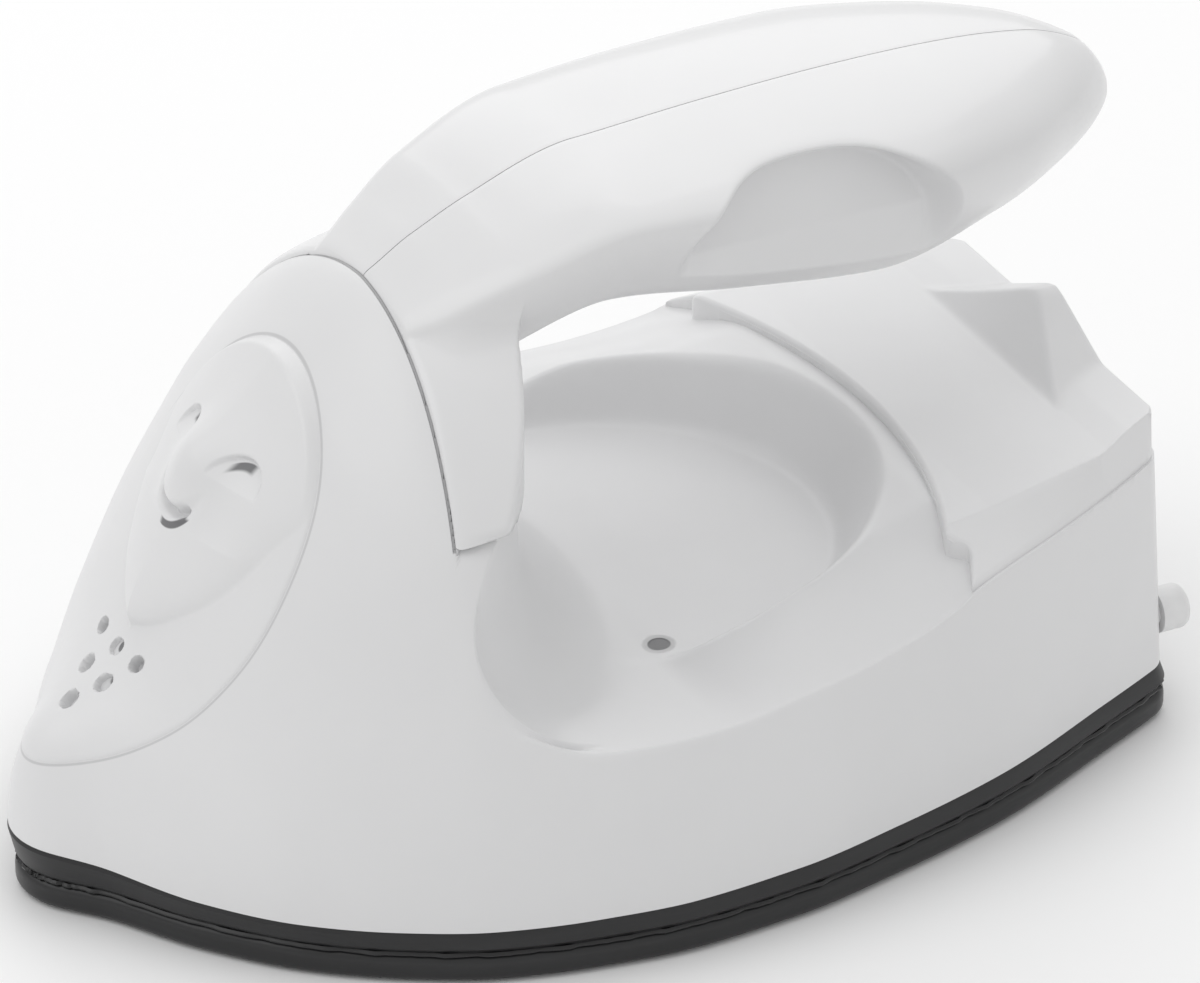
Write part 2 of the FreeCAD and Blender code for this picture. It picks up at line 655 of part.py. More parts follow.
def cover_blank():
    """Everything behind the cover's curved front edge and below its top: flat strips across X."""
    wires = []
    steps = 16
    reach = HALF_WIDTH
    for i in range(-steps, steps + 1):
        x = reach * i / steps
        rows = [BACK_START + (TAIL + 2 - BACK_START) * k / 6 for k in range(7)]
        top = [Vector(x, y, cover_top(x, y)[0]) for y in rows]
        outline = [Vector(x, rows[0], BASE)] + top + [Vector(x, rows[-1], BASE)]
        wires.append(Part.makePolygon(outline + outline[:1]))
    blank = Part.makeLoft(wires, True, True, False, 5)
    return blank.cut(post(0, COVER_ARC_FRONT - COVER_ARC_RADIUS, 0, BIG, COVER_ARC_RADIUS))


def peak():
    """The pyramid bump on the cover; its rear face is cut off by the tail."""
    z = cover_top(0, PEAK_FRONT)[0] - 1.0
    behind = TAIL + 1.5
    crest = Vector(0, PEAK_CREST, cover_top(0, PEAK_CREST)[0] + PEAK_HEIGHT)
    corners = [Vector(-PEAK_HALF_BASE, PEAK_FRONT, z), Vector(PEAK_HALF_BASE, PEAK_FRONT, z),
               Vector(PEAK_HALF_TAIL, behind, z), Vector(-PEAK_HALF_TAIL, behind, z)]
    faces = [Part.Face(Part.makePolygon(corners + corners[:1]))]
    for first, second in zip(corners, corners[1:] + corners[:1]):
        faces.append(Part.Face(Part.makePolygon([first, second, crest, first])))
    solid = Part.Solid(Part.Shell(faces))
    return solid if solid.Volume > 0 else solid.reversed()


def cover_pegs(growth):
    """The two pegs that locate the rear cover in the deck, or their holes."""
    pegs = []
    for side in (-1, 1):
        top = cover_top(side * COVER_PEG_X, COVER_PEG_Y)[0] - COVER_DEPTH / 2
        low = top - COVER_PEG_LENGTH
        pegs.append(post(side * COVER_PEG_X, COVER_PEG_Y, low, top, COVER_PEG_RADIUS + growth))
    return fused(pegs)


def lamp_points():
    """The two pins that carry the lamp board."""
    return [(LAMP_X, LAMP_Y - LAMP_PIN_SPAN / 2), (LAMP_X, LAMP_Y + LAMP_PIN_SPAN / 2)]


LAMP_BOARD_TOP = FLOOR - WALL - LED_GAP - LED_HEIGHT


def body_shell():
    """White shell: hull, scooped deck and dish, with the seats and columns inside it."""
    outer = body_form()
    seat = front_ellipse(-LEDGE_WALL, -BIG, PLATE_BACK).cut(hull(PLATE_WALL + FIT + LEDGE_WALL))
    pocket = front_ellipse(-FIT, -BIG, PLATE_BACK).cut(hull(PLATE_WALL + FIT))
    shell = cut_by(outer, [cavity().cut(seat), pocket])
    added = []
    holes = [front_ellipse(PLATE_LEDGE, -BIG, PLATE_BACK)]
    nose_low = PLATFORM + NOSE_POST
    web = box(-NOSE_WEB / 2, NOSE_WEB / 2, NOSE, NOSE_SCREW_Y, nose_low, nose_low + NOSE_COLUMN)
    added.append(post(0, NOSE_SCREW_Y, nose_low, nose_low + NOSE_COLUMN, POST_RADIUS))
    added.append(web.common(outer))
    holes.append(post(0, NOSE_SCREW_Y, nose_low - 1, nose_low + NOSE_COLUMN + 1, SCREW_RADIUS + SCREW_FIT))
    for side in (-1, 1):
        x = side * TAIL_SCREW_X
        column = post(x, TAIL_SCREW_Y, CARRIER_TOP, BIG, POST_RADIUS).common(outer)
        added.append(column)
        holes.append(post(x, TAIL_SCREW_Y, CARRIER_TOP - 1, BIG, SCREW_RADIUS + SCREW_FIT))
        holes.append(post(x, TAIL_SCREW_Y, CARRIER_TOP + TAIL_HEAD_SEAT, BIG, SCREW_HEAD_RADIUS + FIT))
        x = side * HANDLE_SCREW_X
        holes.append(post(x, HANDLE_SCREW_Y, SEAT - WALL - 1, SEAT + 1, SCREW_RADIUS + SCREW_FIT))
    for x, y in lamp_points():
        added.append(post(x, y, LAMP_BOARD_TOP, FLOOR - WALL / 2, LAMP_PIN_RADIUS * 2))
        added.append(post(x, y, LAMP_BOARD_TOP - LAMP_BOARD - 0.5, FLOOR - WALL / 2, LAMP_PIN_RADIUS))
    holes.append(post(LAMP_X, LAMP_Y, FLOOR - WALL - 1, FLOOR + PLATEAU_RISE, LAMP_RADIUS))
    reach = WINDOW_WIDTH / 2 - TAIL_SCREW_X + POST_RADIUS
    holes.append(box(-reach, reach, WINDOW_Y, WINDOW_Y + WINDOW_LENGTH, FLOOR, BIG))
    holes.append(cover_pegs(FIT))
    holes.append(rod((0, TAIL - WALL - 1, CORD_Z), (0, 1, 0), GLAND_NECK_RADIUS + FIT, WALL + 3))
    for side in (-1, 1):
        holes.append(rod((side * FOOT_SPREAD, TAIL - WALL - 1, BASE + FOOT_HEIGHT), (0, 1, 0),
                         FOOT_RADIUS * 0.6 + FIT, WALL + 3))
    return largest(cut_by(fused([shell] + added), holes))


def nose_plate():
    """Oval plate with six vent holes, two arched eye slots, a nose bump and a smile slot."""
    blank = hull(0).common(front_ellipse(0, -BIG, PLATE_BACK)).cut(hull(PLATE_WALL))
    height = BASE + NOSE_BUMP[3]
    bump = egg(NOSE_BUMP[:3], (0, face_y(height) + PLATE_WALL / 2, height))
    plate = blank.fuse(bump.cut(hull(PLATE_WALL)))
    holes = []
    for count, height in VENT_ROWS:
        for k in range(count):
            x = (k - (count - 1) / 2) * VENT_PITCH
            start = Vector(x, face_y(BASE + height) - 3, BASE + height + 3)
            holes.append(rod(start, (0, 1, -1), VENT_RADIUS, 8))
    for side in (-1, 1):
        holes.append(arc_slot(side * EYE_REACH, BASE + EYE_HEIGHT, EYE_RADIUS, EYE_SLOT, 1))
    holes.append(arc_slot(0, BASE + MOUTH_HEIGHT, MOUTH_RADIUS, EYE_SLOT, -1))
    return cut_by(plate, holes)


def face_y(z):
    """Y of the hull's centre line at height z, found by halving."""
    low = NOSE
    high = COLLAR_Y
    for _ in range(40):
        middle = (low + high) / 2
        if BASE + section_rise(middle) < z:
            low = middle
        else:
            high = middle
    return low


def arc_slot(x, z, radius, width, sign):
    """A curved slot, as a bar along Y: the top of a ring, or its bottom if sign is negative."""
    ring = rod((x, -BIG, z), (0, 1, 0), radius + width / 2, BIG + PLATE_BACK)
    ring = ring.cut(rod((x, -BIG, z), (0, 1, 0), radius - width / 2, BIG + PLATE_BACK))
    rise = radius * SLOT_SHARE
    low = z + rise if sign > 0 else z - 2 * radius
    high = z + 2 * radius if sign > 0 else z - rise
    return ring.common(box(x - 2 * radius, x + 2 * radius, -BIG, PLATE_BACK, low, high))


def rear_deck_cover():
    """Plate behind the curved step, with the pyramid bump and two locating pegs."""
    tail_hull = hull(0).common(box(-BIG, BIG, BACK_START - 5, BIG, FLOOR, CROWN))
    cover = fused([cover_blank(), peak()]).common(tail_hull).common(scoop())
    return fused([largest(cover), cover_pegs(0)])


# ---------------------------------------------------------------- handle
def handle_form(inset):
    """Grip and pillar together."""
    return fused([grip(inset).common(collar_region(-inset)), pillar(inset)])


def egg(half_sizes, centre):
    """An ellipsoid."""
    matrix = FreeCAD.Matrix()
    matrix.scale(*half_sizes)
    ball = Part.makeSphere(1.0).transformGeometry(matrix)
    ball.translate(Vector(*centre))
    return ball


def finger_scallops(growth):
    """The balls that hollow the sides of the grip, grown for the wall behind them."""
    middle = SCALLOP_X + SCALLOP_RADIUS
    balls = [Part.makeSphere(SCALLOP_RADIUS + growth, Vector(side * middle, SCALLOP_Y, CROWN + SCALLOP_RISE))
             for side in (-1, 1)]
    return Part.makeCompound(balls)


def handle_halves():
    """Left and right half of the hollow handle, with the bosses that the screws need."""
    form = handle_form(0).cut(finger_scallops(0))
    hollow = handle_form(HANDLE_WALL).cut(finger_scallops(HANDLE_WALL))
    added = []
    holes = []
    for side in (-1, 1):
        x = side * HANDLE_SCREW_X
        added.append(post(x, HANDLE_SCREW_Y, SEAT, SEAT + HANDLE_BOSS, POST_RADIUS).common(form))
        holes.append(tapped(x, HANDLE_SCREW_Y, SEAT - 1, SEAT + HANDLE_BOSS - 1))
    for y, rise in CROSS_SCREWS:
        start = (-HANDLE_WIDTH, y, CROWN + rise)
        along = (1, 0, 0)
        boss = rod(start, along, SMALL_BOSS_RADIUS, HANDLE_WIDTH + CROSS_REACH + 1)
        added.append(boss.common(form))
        holes.append(rod(start, along, SMALL_HEAD_RADIUS + FIT, HANDLE_WIDTH + CROSS_HEAD_X))
        holes.append(rod(start, along, SMALL_SCREW_RADIUS + SCREW_FIT, HANDLE_WIDTH))
        holes.append(rod((0, y, CROWN + rise), along, SMALL_SCREW_RADIUS + THREAD_FIT, CROSS_REACH))
    whole = cut_by(fused([form.cut(hollow)] + added), holes)
    left = largest(whole.common(box(-BIG, 0, -BIG, BIG, 0, BIG)))
    right = largest(whole.common(box(0, BIG, -BIG, BIG, 0, BIG)))
    return left, right


def largest(shape):
    """The biggest solid of a shape."""
    return sorted(shape.Solids, key=lambda solid: solid.Volume)[-1]


# ---------------------------------------------------------------- what is inside
def stack_plate(half_x, half_y, z0, z1):
    """A flat layer of the heating stack."""
    return box(-half_x, half_x, STACK_Y - half_y, STACK_Y + half_y, z0, z1)


def contact_plate(z0, side):
    """A brass contact with a terminal tab at its rear end."""
    z1 = z0 + CONTACT_THICKNESS
    plate = stack_plate(HEATER_WIDTH / 2 - 0.3, HEATER_LENGTH / 2, z0, z1)
    edge = STACK_Y + HEATER_LENGTH / 2
    x = side * TAB_OFFSET
    tab = box(x - TAB_WIDTH / 2, x + TAB_WIDTH / 2, edge, edge + TAB_LENGTH, z0, z1)
    return plate.fuse(tab).removeSplitter()


def heating_stack():
    """Mica, contact, heater, contact and mica, from the soleplate up, as named pieces."""
    mica = (HEATER_WIDTH / 2 + 0.4, HEATER_LENGTH / 2)
    return {
        "lower_mica_sheet": stack_plate(*mica, PLATFORM, STACK_LOW),
        "lower_contact_plate": contact_plate(STACK_LOW, -1),
        "heater_element": stack_plate(HEATER_WIDTH / 2, HEATER_LENGTH / 2, HEATER_LOW, HEATER_TOP),
        "upper_contact_plate": contact_plate(HEATER_TOP, 1),
        "upper_mica_sheet": stack_plate(*mica, HEATER_TOP + CONTACT_THICKNESS, STACK_TOP),
    }


def heater_clamp():
    """Steel bridge that presses the stack on to the soleplate."""
    plate = stack_plate(*CLAMP_HALF, STACK_TOP, STACK_TOP + CLAMP_THICKNESS)
    corners = [edge for edge in plate.Edges if edge.BoundBox.ZMax - edge.BoundBox.ZMin > CLAMP_THICKNESS / 2]
    plate = plate.makeFillet(2.0, corners)
    holes = [post(x, y, 0, BIG, SCREW_RADIUS + SCREW_FIT) for x, y in clamp_screw_points()]
    return cut_by(plate, holes)


def heat_baffle():
    """Folded sheet over the stack, on four legs."""
    top = BAFFLE_LOW + BAFFLE_THICKNESS
    sheet = box(-BAFFLE_HALF_WIDTH, BAFFLE_HALF_WIDTH, BAFFLE_Y - BAFFLE_HALF_LENGTH,
                BAFFLE_Y + BAFFLE_HALF_LENGTH, BAFFLE_LOW, top)
    corners = [edge for edge in sheet.Edges if edge.BoundBox.ZMax - edge.BoundBox.ZMin > BAFFLE_THICKNESS / 2]
    shapes = [sheet.makeFillet(2.0, corners)]
    for x in (-BAFFLE_HALF_WIDTH, BAFFLE_HALF_WIDTH - BAFFLE_THICKNESS):
        for y in (BAFFLE_Y - BAFFLE_LEG_SPREAD, BAFFLE_Y + BAFFLE_LEG_SPREAD):
            shapes.append(box(x, x + BAFFLE_THICKNESS, y - BAFFLE_LEG_WIDTH / 2, y + BAFFLE_LEG_WIDTH / 2,
                              PLATFORM, top))
    return fused(shapes)


def insulation_pad():
    """Felt on the baffle."""
    low = BAFFLE_LOW + BAFFLE_THICKNESS
    pad = box(-BAFFLE_HALF_WIDTH + PAD_MARGIN, BAFFLE_HALF_WIDTH - PAD_MARGIN,
              BAFFLE_Y - BAFFLE_HALF_LENGTH + PAD_MARGIN, BAFFLE_Y + BAFFLE_HALF_LENGTH - PAD_MARGIN,
              low, low + PAD_THICKNESS)
    corners = [edge for edge in pad.Edges if edge.BoundBox.ZMax - edge.BoundBox.ZMin > PAD_THICKNESS / 2]
    return pad.makeFillet(1.6, corners)


def fuse_axis_z():
    """Height of the thermal fuse's axis: it lies on the soleplate."""
    return PLATFORM + FUSE_RADIUS


def thermal_fuse():
    """Sealed tube with a stub of wire at each end."""
    z = fuse_axis_z()
    body = rod((-FUSE_LENGTH / 2, FUSE_Y, z), (1, 0, 0), FUSE_RADIUS, FUSE_LENGTH)
    body = body.makeFillet(0.4, [edge for edge in body.Edges if edge.BoundBox.XMax - edge.BoundBox.XMin < 1e-6])
    wire = rod((-FUSE_LENGTH / 2 - FUSE_STUB, FUSE_Y, z), (1, 0, 0), 0.4, FUSE_LENGTH + 2 * FUSE_STUB)
    return body.fuse(wire)


def fuse_clip():
    """Strap over the fuse, with a foot that one small screw holds."""
    z = fuse_axis_z()
    outer = FUSE_RADIUS + FIT + FUSE_STRAP
    start = (-FUSE_CLIP_WIDTH / 2, FUSE_Y, z)
    ring = rod(start, (1, 0, 0), outer, FUSE_CLIP_WIDTH)
    ring = ring.cut(rod(start, (1, 0, 0), FUSE_RADIUS + FIT, FUSE_CLIP_WIDTH))
    x0 = -FUSE_CLIP_WIDTH / 2
    x1 = FUSE_CLIP_WIDTH / 2
    arch = ring.common(box(x0, x1, FUSE_Y - BIG, FUSE_Y + BIG, z, BIG))
    legs = [box(x0, x1, FUSE_Y + side * outer - (FUSE_STRAP if side > 0 else 0),
                FUSE_Y + side * outer + (0 if side > 0 else FUSE_STRAP), PLATFORM, z) for side in (-1, 1)]
    foot = box(x0, x1, FUSE_Y + outer - FUSE_STRAP, FUSE_Y + fuse_foot() + FUSE_CLIP_WIDTH / 2,
               PLATFORM, PLATFORM + FUSE_STRAP)
    hole = post(0, FUSE_Y + fuse_foot(), PLATFORM - 1, PLATFORM + 2, SMALL_SCREW_RADIUS + FIT)
    return fused([arch, foot] + legs).cut(hole)


def carrier_plate():
    """Heat-proof plate on the tail posts that carries the terminals and the cord clamp."""
    plate = box(-CARRIER_HALF_WIDTH, CARRIER_HALF_WIDTH, CARRIER_FRONT, CARRIER_BACK, CARRIER_LOW, CARRIER_TOP)
    corners = [edge for edge in plate.Edges if edge.BoundBox.ZMax - edge.BoundBox.ZMin > CARRIER_THICKNESS / 2]
    shapes = [plate.makeFillet(2.5, corners)]
    holes = [post(side * TAIL_SCREW_X, TAIL_SCREW_Y, 0, BIG, SCREW_RADIUS + SCREW_FIT) for side in (-1, 1)]
    saddle = box(-CORD_RADIUS, CORD_RADIUS, CLAMP_BAR_Y - SADDLE_LENGTH / 2, CLAMP_BAR_Y + SADDLE_LENGTH / 2,
                 CARRIER_TOP, CORD_Z - CORD_RADIUS)
    shapes.append(saddle)
    for side in (-1, 1):
        x = side * CLAMP_BAR_SPAN / 2
        shapes.append(post(x, CLAMP_BAR_Y, CARRIER_TOP, CORD_Z + CORD_RADIUS - CLAMP_GAP, CLAMP_POST_RADIUS))
        holes.append(tapped(x, CLAMP_BAR_Y, CARRIER_LOW - 1, BIG, SMALL_SCREW_RADIUS))
    return cut_by(fused(shapes), holes)


def cord_clamp():
    """Bar that presses the cord on to the carrier's saddle."""
    z0 = CORD_Z + CORD_RADIUS - CLAMP_GAP
    half = CLAMP_BAR_SPAN / 2 + CLAMP_POST_RADIUS
    bar = box(-half, half, CLAMP_BAR_Y - CLAMP_POST_RADIUS, CLAMP_BAR_Y + CLAMP_POST_RADIUS, z0,
              z0 + CLAMP_BAR_THICKNESS)
    corners = [edge for edge in bar.Edges if edge.BoundBox.ZMax - edge.BoundBox.ZMin > CLAMP_BAR_THICKNESS / 2]
    bar = bar.makeFillet(CLAMP_POST_RADIUS * 0.7, corners)
    holes = [post(side * CLAMP_BAR_SPAN / 2, CLAMP_BAR_Y, 0, BIG, SMALL_SCREW_RADIUS + FIT) for side in (-1, 1)]
    return cut_by(bar, holes)


def terminal_block():
    """Two-way block on the carrier, with a clamping screw and a wire hole each way."""
    length, depth, height = TERMINAL_SIZE
    y0 = TERMINAL_Y - depth / 2
    shape = box(-length / 2, length / 2, y0, y0 + depth, CARRIER_TOP, CARRIER_TOP + height)
    holes = []
    for side in (-1, 1):
        x = side * length / 4
        shape = shape.fuse(post(x, TERMINAL_Y, CARRIER_TOP + height, CARRIER_TOP + height + 0.8, depth * 0.4))
        holes.append(post(x, TERMINAL_Y, CARRIER_TOP + height - 0.4, BIG, SMALL_HEAD_RADIUS))
        for end in (y0, y0 + depth):
            holes.append(rod((x, end - TERMINAL_BORE, terminal_wire_z()), (0, 1, 0), LEAD_RADIUS + FIT,
                             2 * TERMINAL_BORE))
    return cut_by(shape, holes)


def terminal_wire_z():
    """Height of the wire holes in the terminal block."""
    return CARRIER_TOP + TERMINAL_SIZE[2] * 0.42


def terminal_screws():
    """Grub screws in the terminal block."""
    length, _, height = TERMINAL_SIZE
    z = CARRIER_TOP + height - 0.4
    pieces = []
    for side in (-1, 1):
        head = post(side * length / 4, TERMINAL_Y, z, z + 0.9, SMALL_HEAD_RADIUS - FIT)
        slot = box(-BIG, BIG, TERMINAL_Y - 0.25, TERMINAL_Y + 0.25, z + 0.5, BIG)
        pieces.append(head.cut(slot))
    return Part.makeCompound(pieces)


def cord_gland():
    """Rubber bush in the tail wall; the cord passes through its bore."""
    inner = TAIL - WALL - GLAND_FLANGE
    start = (0, inner, CORD_Z)
    flange = rod(start, (0, 1, 0), GLAND_RADIUS, GLAND_FLANGE)
    neck = rod(start, (0, 1, 0), GLAND_NECK_RADIUS, GLAND_FLANGE + WALL)
    collar = rod((0, TAIL, CORD_Z), (0, 1, 0), GLAND_RADIUS, GLAND_FLANGE)
    rim = [edge for edge in collar.Edges if edge.BoundBox.YMin > TAIL + GLAND_FLANGE - 1e-6]
    collar = collar.makeFillet(0.6, rim)
    bore = rod((0, inner - 1, CORD_Z), (0, 1, 0), CORD_RADIUS + CORD_FIT, 2 * GLAND_FLANGE + WALL + 2)
    return fused([flange, neck, collar]).cut(bore)


def heel_feet():
    """Two soft stubs in the tail wall, on which the iron stands upright."""
    feet = []
    for side in (-1, 1):
        x = side * FOOT_SPREAD
        z = BASE + FOOT_HEIGHT
        stub = rod((x, TAIL, z), (0, 1, 0), FOOT_RADIUS, FOOT_REACH)
        rim = [edge for edge in stub.Edges if edge.BoundBox.YMin > TAIL + FOOT_REACH - 1e-6]
        stub = stub.makeFillet(0.8, rim)
        feet.append(stub.fuse(rod((x, TAIL - WALL - 0.6, z), (0, 1, 0), FOOT_RADIUS * 0.6, WALL + 1)))
    return Part.makeCompound(feet)


def lamp_board():
    """Small board under the deck's lamp hole."""
    half_x, half_y = LAMP_BOARD_HALF
    board = box(LAMP_X - half_x, LAMP_X + half_x, LAMP_Y - half_y, LAMP_Y + half_y,
                LAMP_BOARD_TOP - LAMP_BOARD, LAMP_BOARD_TOP)
    holes = [post(x, y, 0, BIG, LAMP_PIN_RADIUS + FIT) for x, y in lamp_points()]
    return cut_by(board, holes)


def pilot_lamp():
    """Lamp with a flange and a domed end, under the hole."""
    z = LAMP_BOARD_TOP
    straight = LED_HEIGHT - LED_RADIUS
    body = post(LAMP_X, LAMP_Y, z, z + straight, LED_RADIUS)
    dome = Part.makeSphere(LED_RADIUS, Vector(LAMP_X, LAMP_Y, z + straight))
    return fused([post(LAMP_X, LAMP_Y, z, z + 0.6, LED_RADIUS + 0.35), body, dome])


def lamp_resistor():
    """Dropping resistor under the lamp board."""
    z = LAMP_BOARD_TOP - LAMP_BOARD - RESISTOR_RADIUS
    body = rod((LAMP_X, LAMP_Y - RESISTOR_LENGTH / 2, z), (0, 1, 0), RESISTOR_RADIUS, RESISTOR_LENGTH)
    return body.makeFillet(0.35, [edge for edge in body.Edges if edge.BoundBox.YMax - edge.BoundBox.YMin < 1e-6])


def lead(points, bend):
    """An insulated wire: straight runs with round bends, swept."""
    places = [Vector(*p) for p in points]
    edges = []
    here = places[0]
    for before, corner, after in zip(places, places[1:], places[2:]):
        into = (before - corner).normalize()
        out = (after - corner).normalize()
        angle = into.getAngle(out)
        cut = bend / math.tan(angle / 2)
        first = corner + into * cut
        last = corner + out * cut
        middle = corner + (into + out).normalize() * (bend / math.sin(angle / 2) - bend)
        if (first - here).Length > 1e-6:
            edges.append(Part.LineSegment(here, first).toShape())
        edges.append(Part.Arc(first, middle, last).toShape())
        here = last
    edges.append(Part.LineSegment(here, places[-1]).toShape())
    path = Part.Wire(edges)
    circle = Part.Circle(places[0], places[1] - places[0], LEAD_RADIUS)
    return path.makePipeShell([Part.Wire(circle.toShape())], True, False)


def leads():
    """Internal wiring, from the terminal block to the fuse, the heater and the lamp."""
    block_x = TERMINAL_SIZE[0] / 4
    wire_z = terminal_wire_z()
    front = TERMINAL_Y - TERMINAL_SIZE[1] / 2
    tab_y = STACK_Y + HEATER_LENGTH / 2 + TAB_LENGTH
    stub_x = FUSE_LENGTH / 2 + FUSE_STUB
    fuse_z = fuse_axis_z()
    low_tab = STACK_LOW + CONTACT_THICKNESS + LEAD_RADIUS
    high_tab = HEATER_TOP + CONTACT_THICKNESS + LEAD_RADIUS
    board_low = LAMP_BOARD_TOP - LAMP_BOARD
    return {
        "supply_lead": lead([(-block_x, front, wire_z), (-block_x, front - 2.4, wire_z),
                             (-stub_x - 2.6, front - 2.4, fuse_z + 3.0), (-stub_x - 2.6, FUSE_Y, fuse_z),
                             (-stub_x, FUSE_Y, fuse_z)], 1.1),
        "heater_feed_lead": lead([(stub_x, FUSE_Y, fuse_z), (stub_x + 2.6, FUSE_Y, fuse_z),
                                  (stub_x + 1.2, tab_y + 1.0, high_tab), (TAB_OFFSET, tab_y + 1.0, high_tab),
                                  (TAB_OFFSET, tab_y - 1.4, high_tab)], 1.0),
        "heater_return_lead": lead([(block_x, front, wire_z), (block_x, front - 2.0, wire_z),
                                    (block_x + 6.5, front - 2.0, wire_z - 2.0),
                                    (block_x + 6.5, tab_y + 0.8, PLATFORM + 1.4),
                                    (-TAB_OFFSET, tab_y + 0.8, low_tab), (-TAB_OFFSET, tab_y - 1.2, low_tab)], 1.0),
        "lamp_lead": lead([(block_x + 2.2, front, wire_z + 1.0), (block_x + 2.2, front - 2.5, wire_z + 1.0),
                           (LAMP_X + 2.5, front - 6.0, board_low - 3.0), (LAMP_X + 2.5, LAMP_Y, board_low - 3.0),
                           (LAMP_X + 2.5, LAMP_Y, board_low)], 1.2),
    }


def fuse_foot():
    """Fuse axis to the screw of its clip."""
    return FUSE_RADIUS + FUSE_STRAP + SMALL_HEAD_RADIUS + 0.4


# ---------------------------------------------------------------- fasteners
def body_screws():
    """Nose screw and two tail screws, from above."""
    heads = [PLATFORM + NOSE_POST + NOSE_COLUMN, CARRIER_TOP + TAIL_HEAD_SEAT, CARRIER_TOP + TAIL_HEAD_SEAT]
    pieces = [screw(x, y, z, BODY_SCREW_LENGTH, SCREW_RADIUS, SCREW_HEAD_RADIUS, SCREW_HEAD_HEIGHT)
              for (x, y), z in zip(body_screw_points(), heads)]
    return Part.makeCompound(pieces)


def clamp_screws():
    """Screws of the heater clamp."""
    top = STACK_TOP + CLAMP_THICKNESS
    return Part.makeCompound([screw(x, y, top, CLAMP_SCREW_LENGTH, SCREW_RADIUS, SCREW_HEAD_RADIUS,
                                    SCREW_HEAD_HEIGHT) for x, y in clamp_screw_points()])


def handle_screws():
    """Screws from inside the body up into the handle."""
    return Part.makeCompound([screw(side * HANDLE_SCREW_X, HANDLE_SCREW_Y, SEAT - WALL, HANDLE_SCREW_LENGTH,
                                    SCREW_RADIUS, SCREW_HEAD_RADIUS, SCREW_HEAD_HEIGHT, down=False)
                              for side in (-1, 1)])


def small_screw(x, y, z, length):
    """A small pan head screw going down."""
    return screw(x, y, z, length, SMALL_SCREW_RADIUS, SMALL_HEAD_RADIUS, SMALL_HEAD_HEIGHT)


def cross_screws():
    """Screws that draw the handle's halves together."""
    pieces = []
    for y, rise in CROSS_SCREWS:
        piece = small_screw(0, 0, 0, -CROSS_HEAD_X + CROSS_REACH - 1)
        piece.rotate(Vector(0, 0, 0), Vector(0, 1, 0), -90)
        piece.translate(Vector(CROSS_HEAD_X, y, CROWN + rise))
        pieces.append(piece)
    return Part.makeCompound(pieces)


def clip_screw():
    """Screw of the fuse clip."""
    return small_screw(0, FUSE_Y + fuse_foot(), PLATFORM + FUSE_STRAP, FUSE_SCREW_LENGTH)


def cord_clamp_screws():
    """Screws of the cord clamp."""
    top = CORD_Z + CORD_RADIUS - CLAMP_GAP + CLAMP_BAR_THICKNESS
    return Part.makeCompound([small_screw(side * CLAMP_BAR_SPAN / 2, CLAMP_BAR_Y, top, CORD_SCREW_LENGTH)
                              for side in (-1, 1)])


def main():
    """Build every piece and write it to its own file."""
    left, right = handle_halves()
    pieces = {
        "soleplate": soleplate(),
        "sole_skirt": sole_skirt(),
        "sealing_bead": sealing_bead(),
        "body_shell": body_shell(),
        "nose_plate": nose_plate(),
        "rear_deck_cover": rear_deck_cover(),
        "handle_half_left": left,
        "handle_half_right": right,
        "heel_feet": heel_feet(),
        "cord_gland": cord_gland(),
        "carrier_plate": carrier_plate(),
        "cord_clamp": cord_clamp(),
        "terminal_block": terminal_block(),
        "terminal_screws": terminal_screws(),
        "heater_clamp": heater_clamp(),
        "heat_baffle": heat_baffle(),
        "insulation_pad": insulation_pad(),
        "thermal_fuse": thermal_fuse(),
        "fuse_clip": fuse_clip(),
        "lamp_board": lamp_board(),
        "pilot_lamp": pilot_lamp(),
        "lamp_resistor": lamp_resistor(),
        "body_screws": body_screws(),
        "clamp_screws": clamp_screws(),
        "handle_screws": handle_screws(),
        "handle_cross_screws": cross_screws(),
        "fuse_clip_screw": clip_screw(),
        "cord_clamp_screws": cord_clamp_screws(),
    }
    pieces.update(heating_stack())
    pieces.update(leads())
    for name, shape in pieces.items():
        solids = shape.Solids
        print(name, "valid" if shape.isValid() else "INVALID", len(solids), round(shape.Volume, 2))
        shape.exportStep("parts/" + name + ".step")


if __name__ == "__main__":
    main()
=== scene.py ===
import math

import bpy
import numpy as np
from bpy.props import FloatProperty, FloatVectorProperty, IntProperty, PointerProperty
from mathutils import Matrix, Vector


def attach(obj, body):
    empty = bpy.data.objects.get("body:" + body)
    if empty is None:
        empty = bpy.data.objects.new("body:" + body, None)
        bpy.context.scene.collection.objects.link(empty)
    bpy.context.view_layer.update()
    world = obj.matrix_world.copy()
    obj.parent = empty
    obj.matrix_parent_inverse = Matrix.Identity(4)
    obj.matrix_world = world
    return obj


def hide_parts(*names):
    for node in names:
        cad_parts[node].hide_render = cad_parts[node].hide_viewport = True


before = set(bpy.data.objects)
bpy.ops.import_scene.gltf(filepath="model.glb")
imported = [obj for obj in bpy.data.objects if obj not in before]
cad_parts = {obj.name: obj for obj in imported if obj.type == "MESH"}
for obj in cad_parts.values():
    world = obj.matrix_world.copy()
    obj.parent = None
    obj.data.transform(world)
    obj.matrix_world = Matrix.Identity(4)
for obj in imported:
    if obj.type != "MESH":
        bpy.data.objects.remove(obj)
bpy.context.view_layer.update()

bl_info = {
    "name": "Mini Heat Press",
    "version": (1, 0, 0),
    "blender": (4, 5, 0),
    "location": "3D View > Sidebar > Heat Press",
    "description": "Builds the outer surfaces, finishes and studio of a small handheld heat press",
    "category": "Add Mesh",
}

MM = 0.001


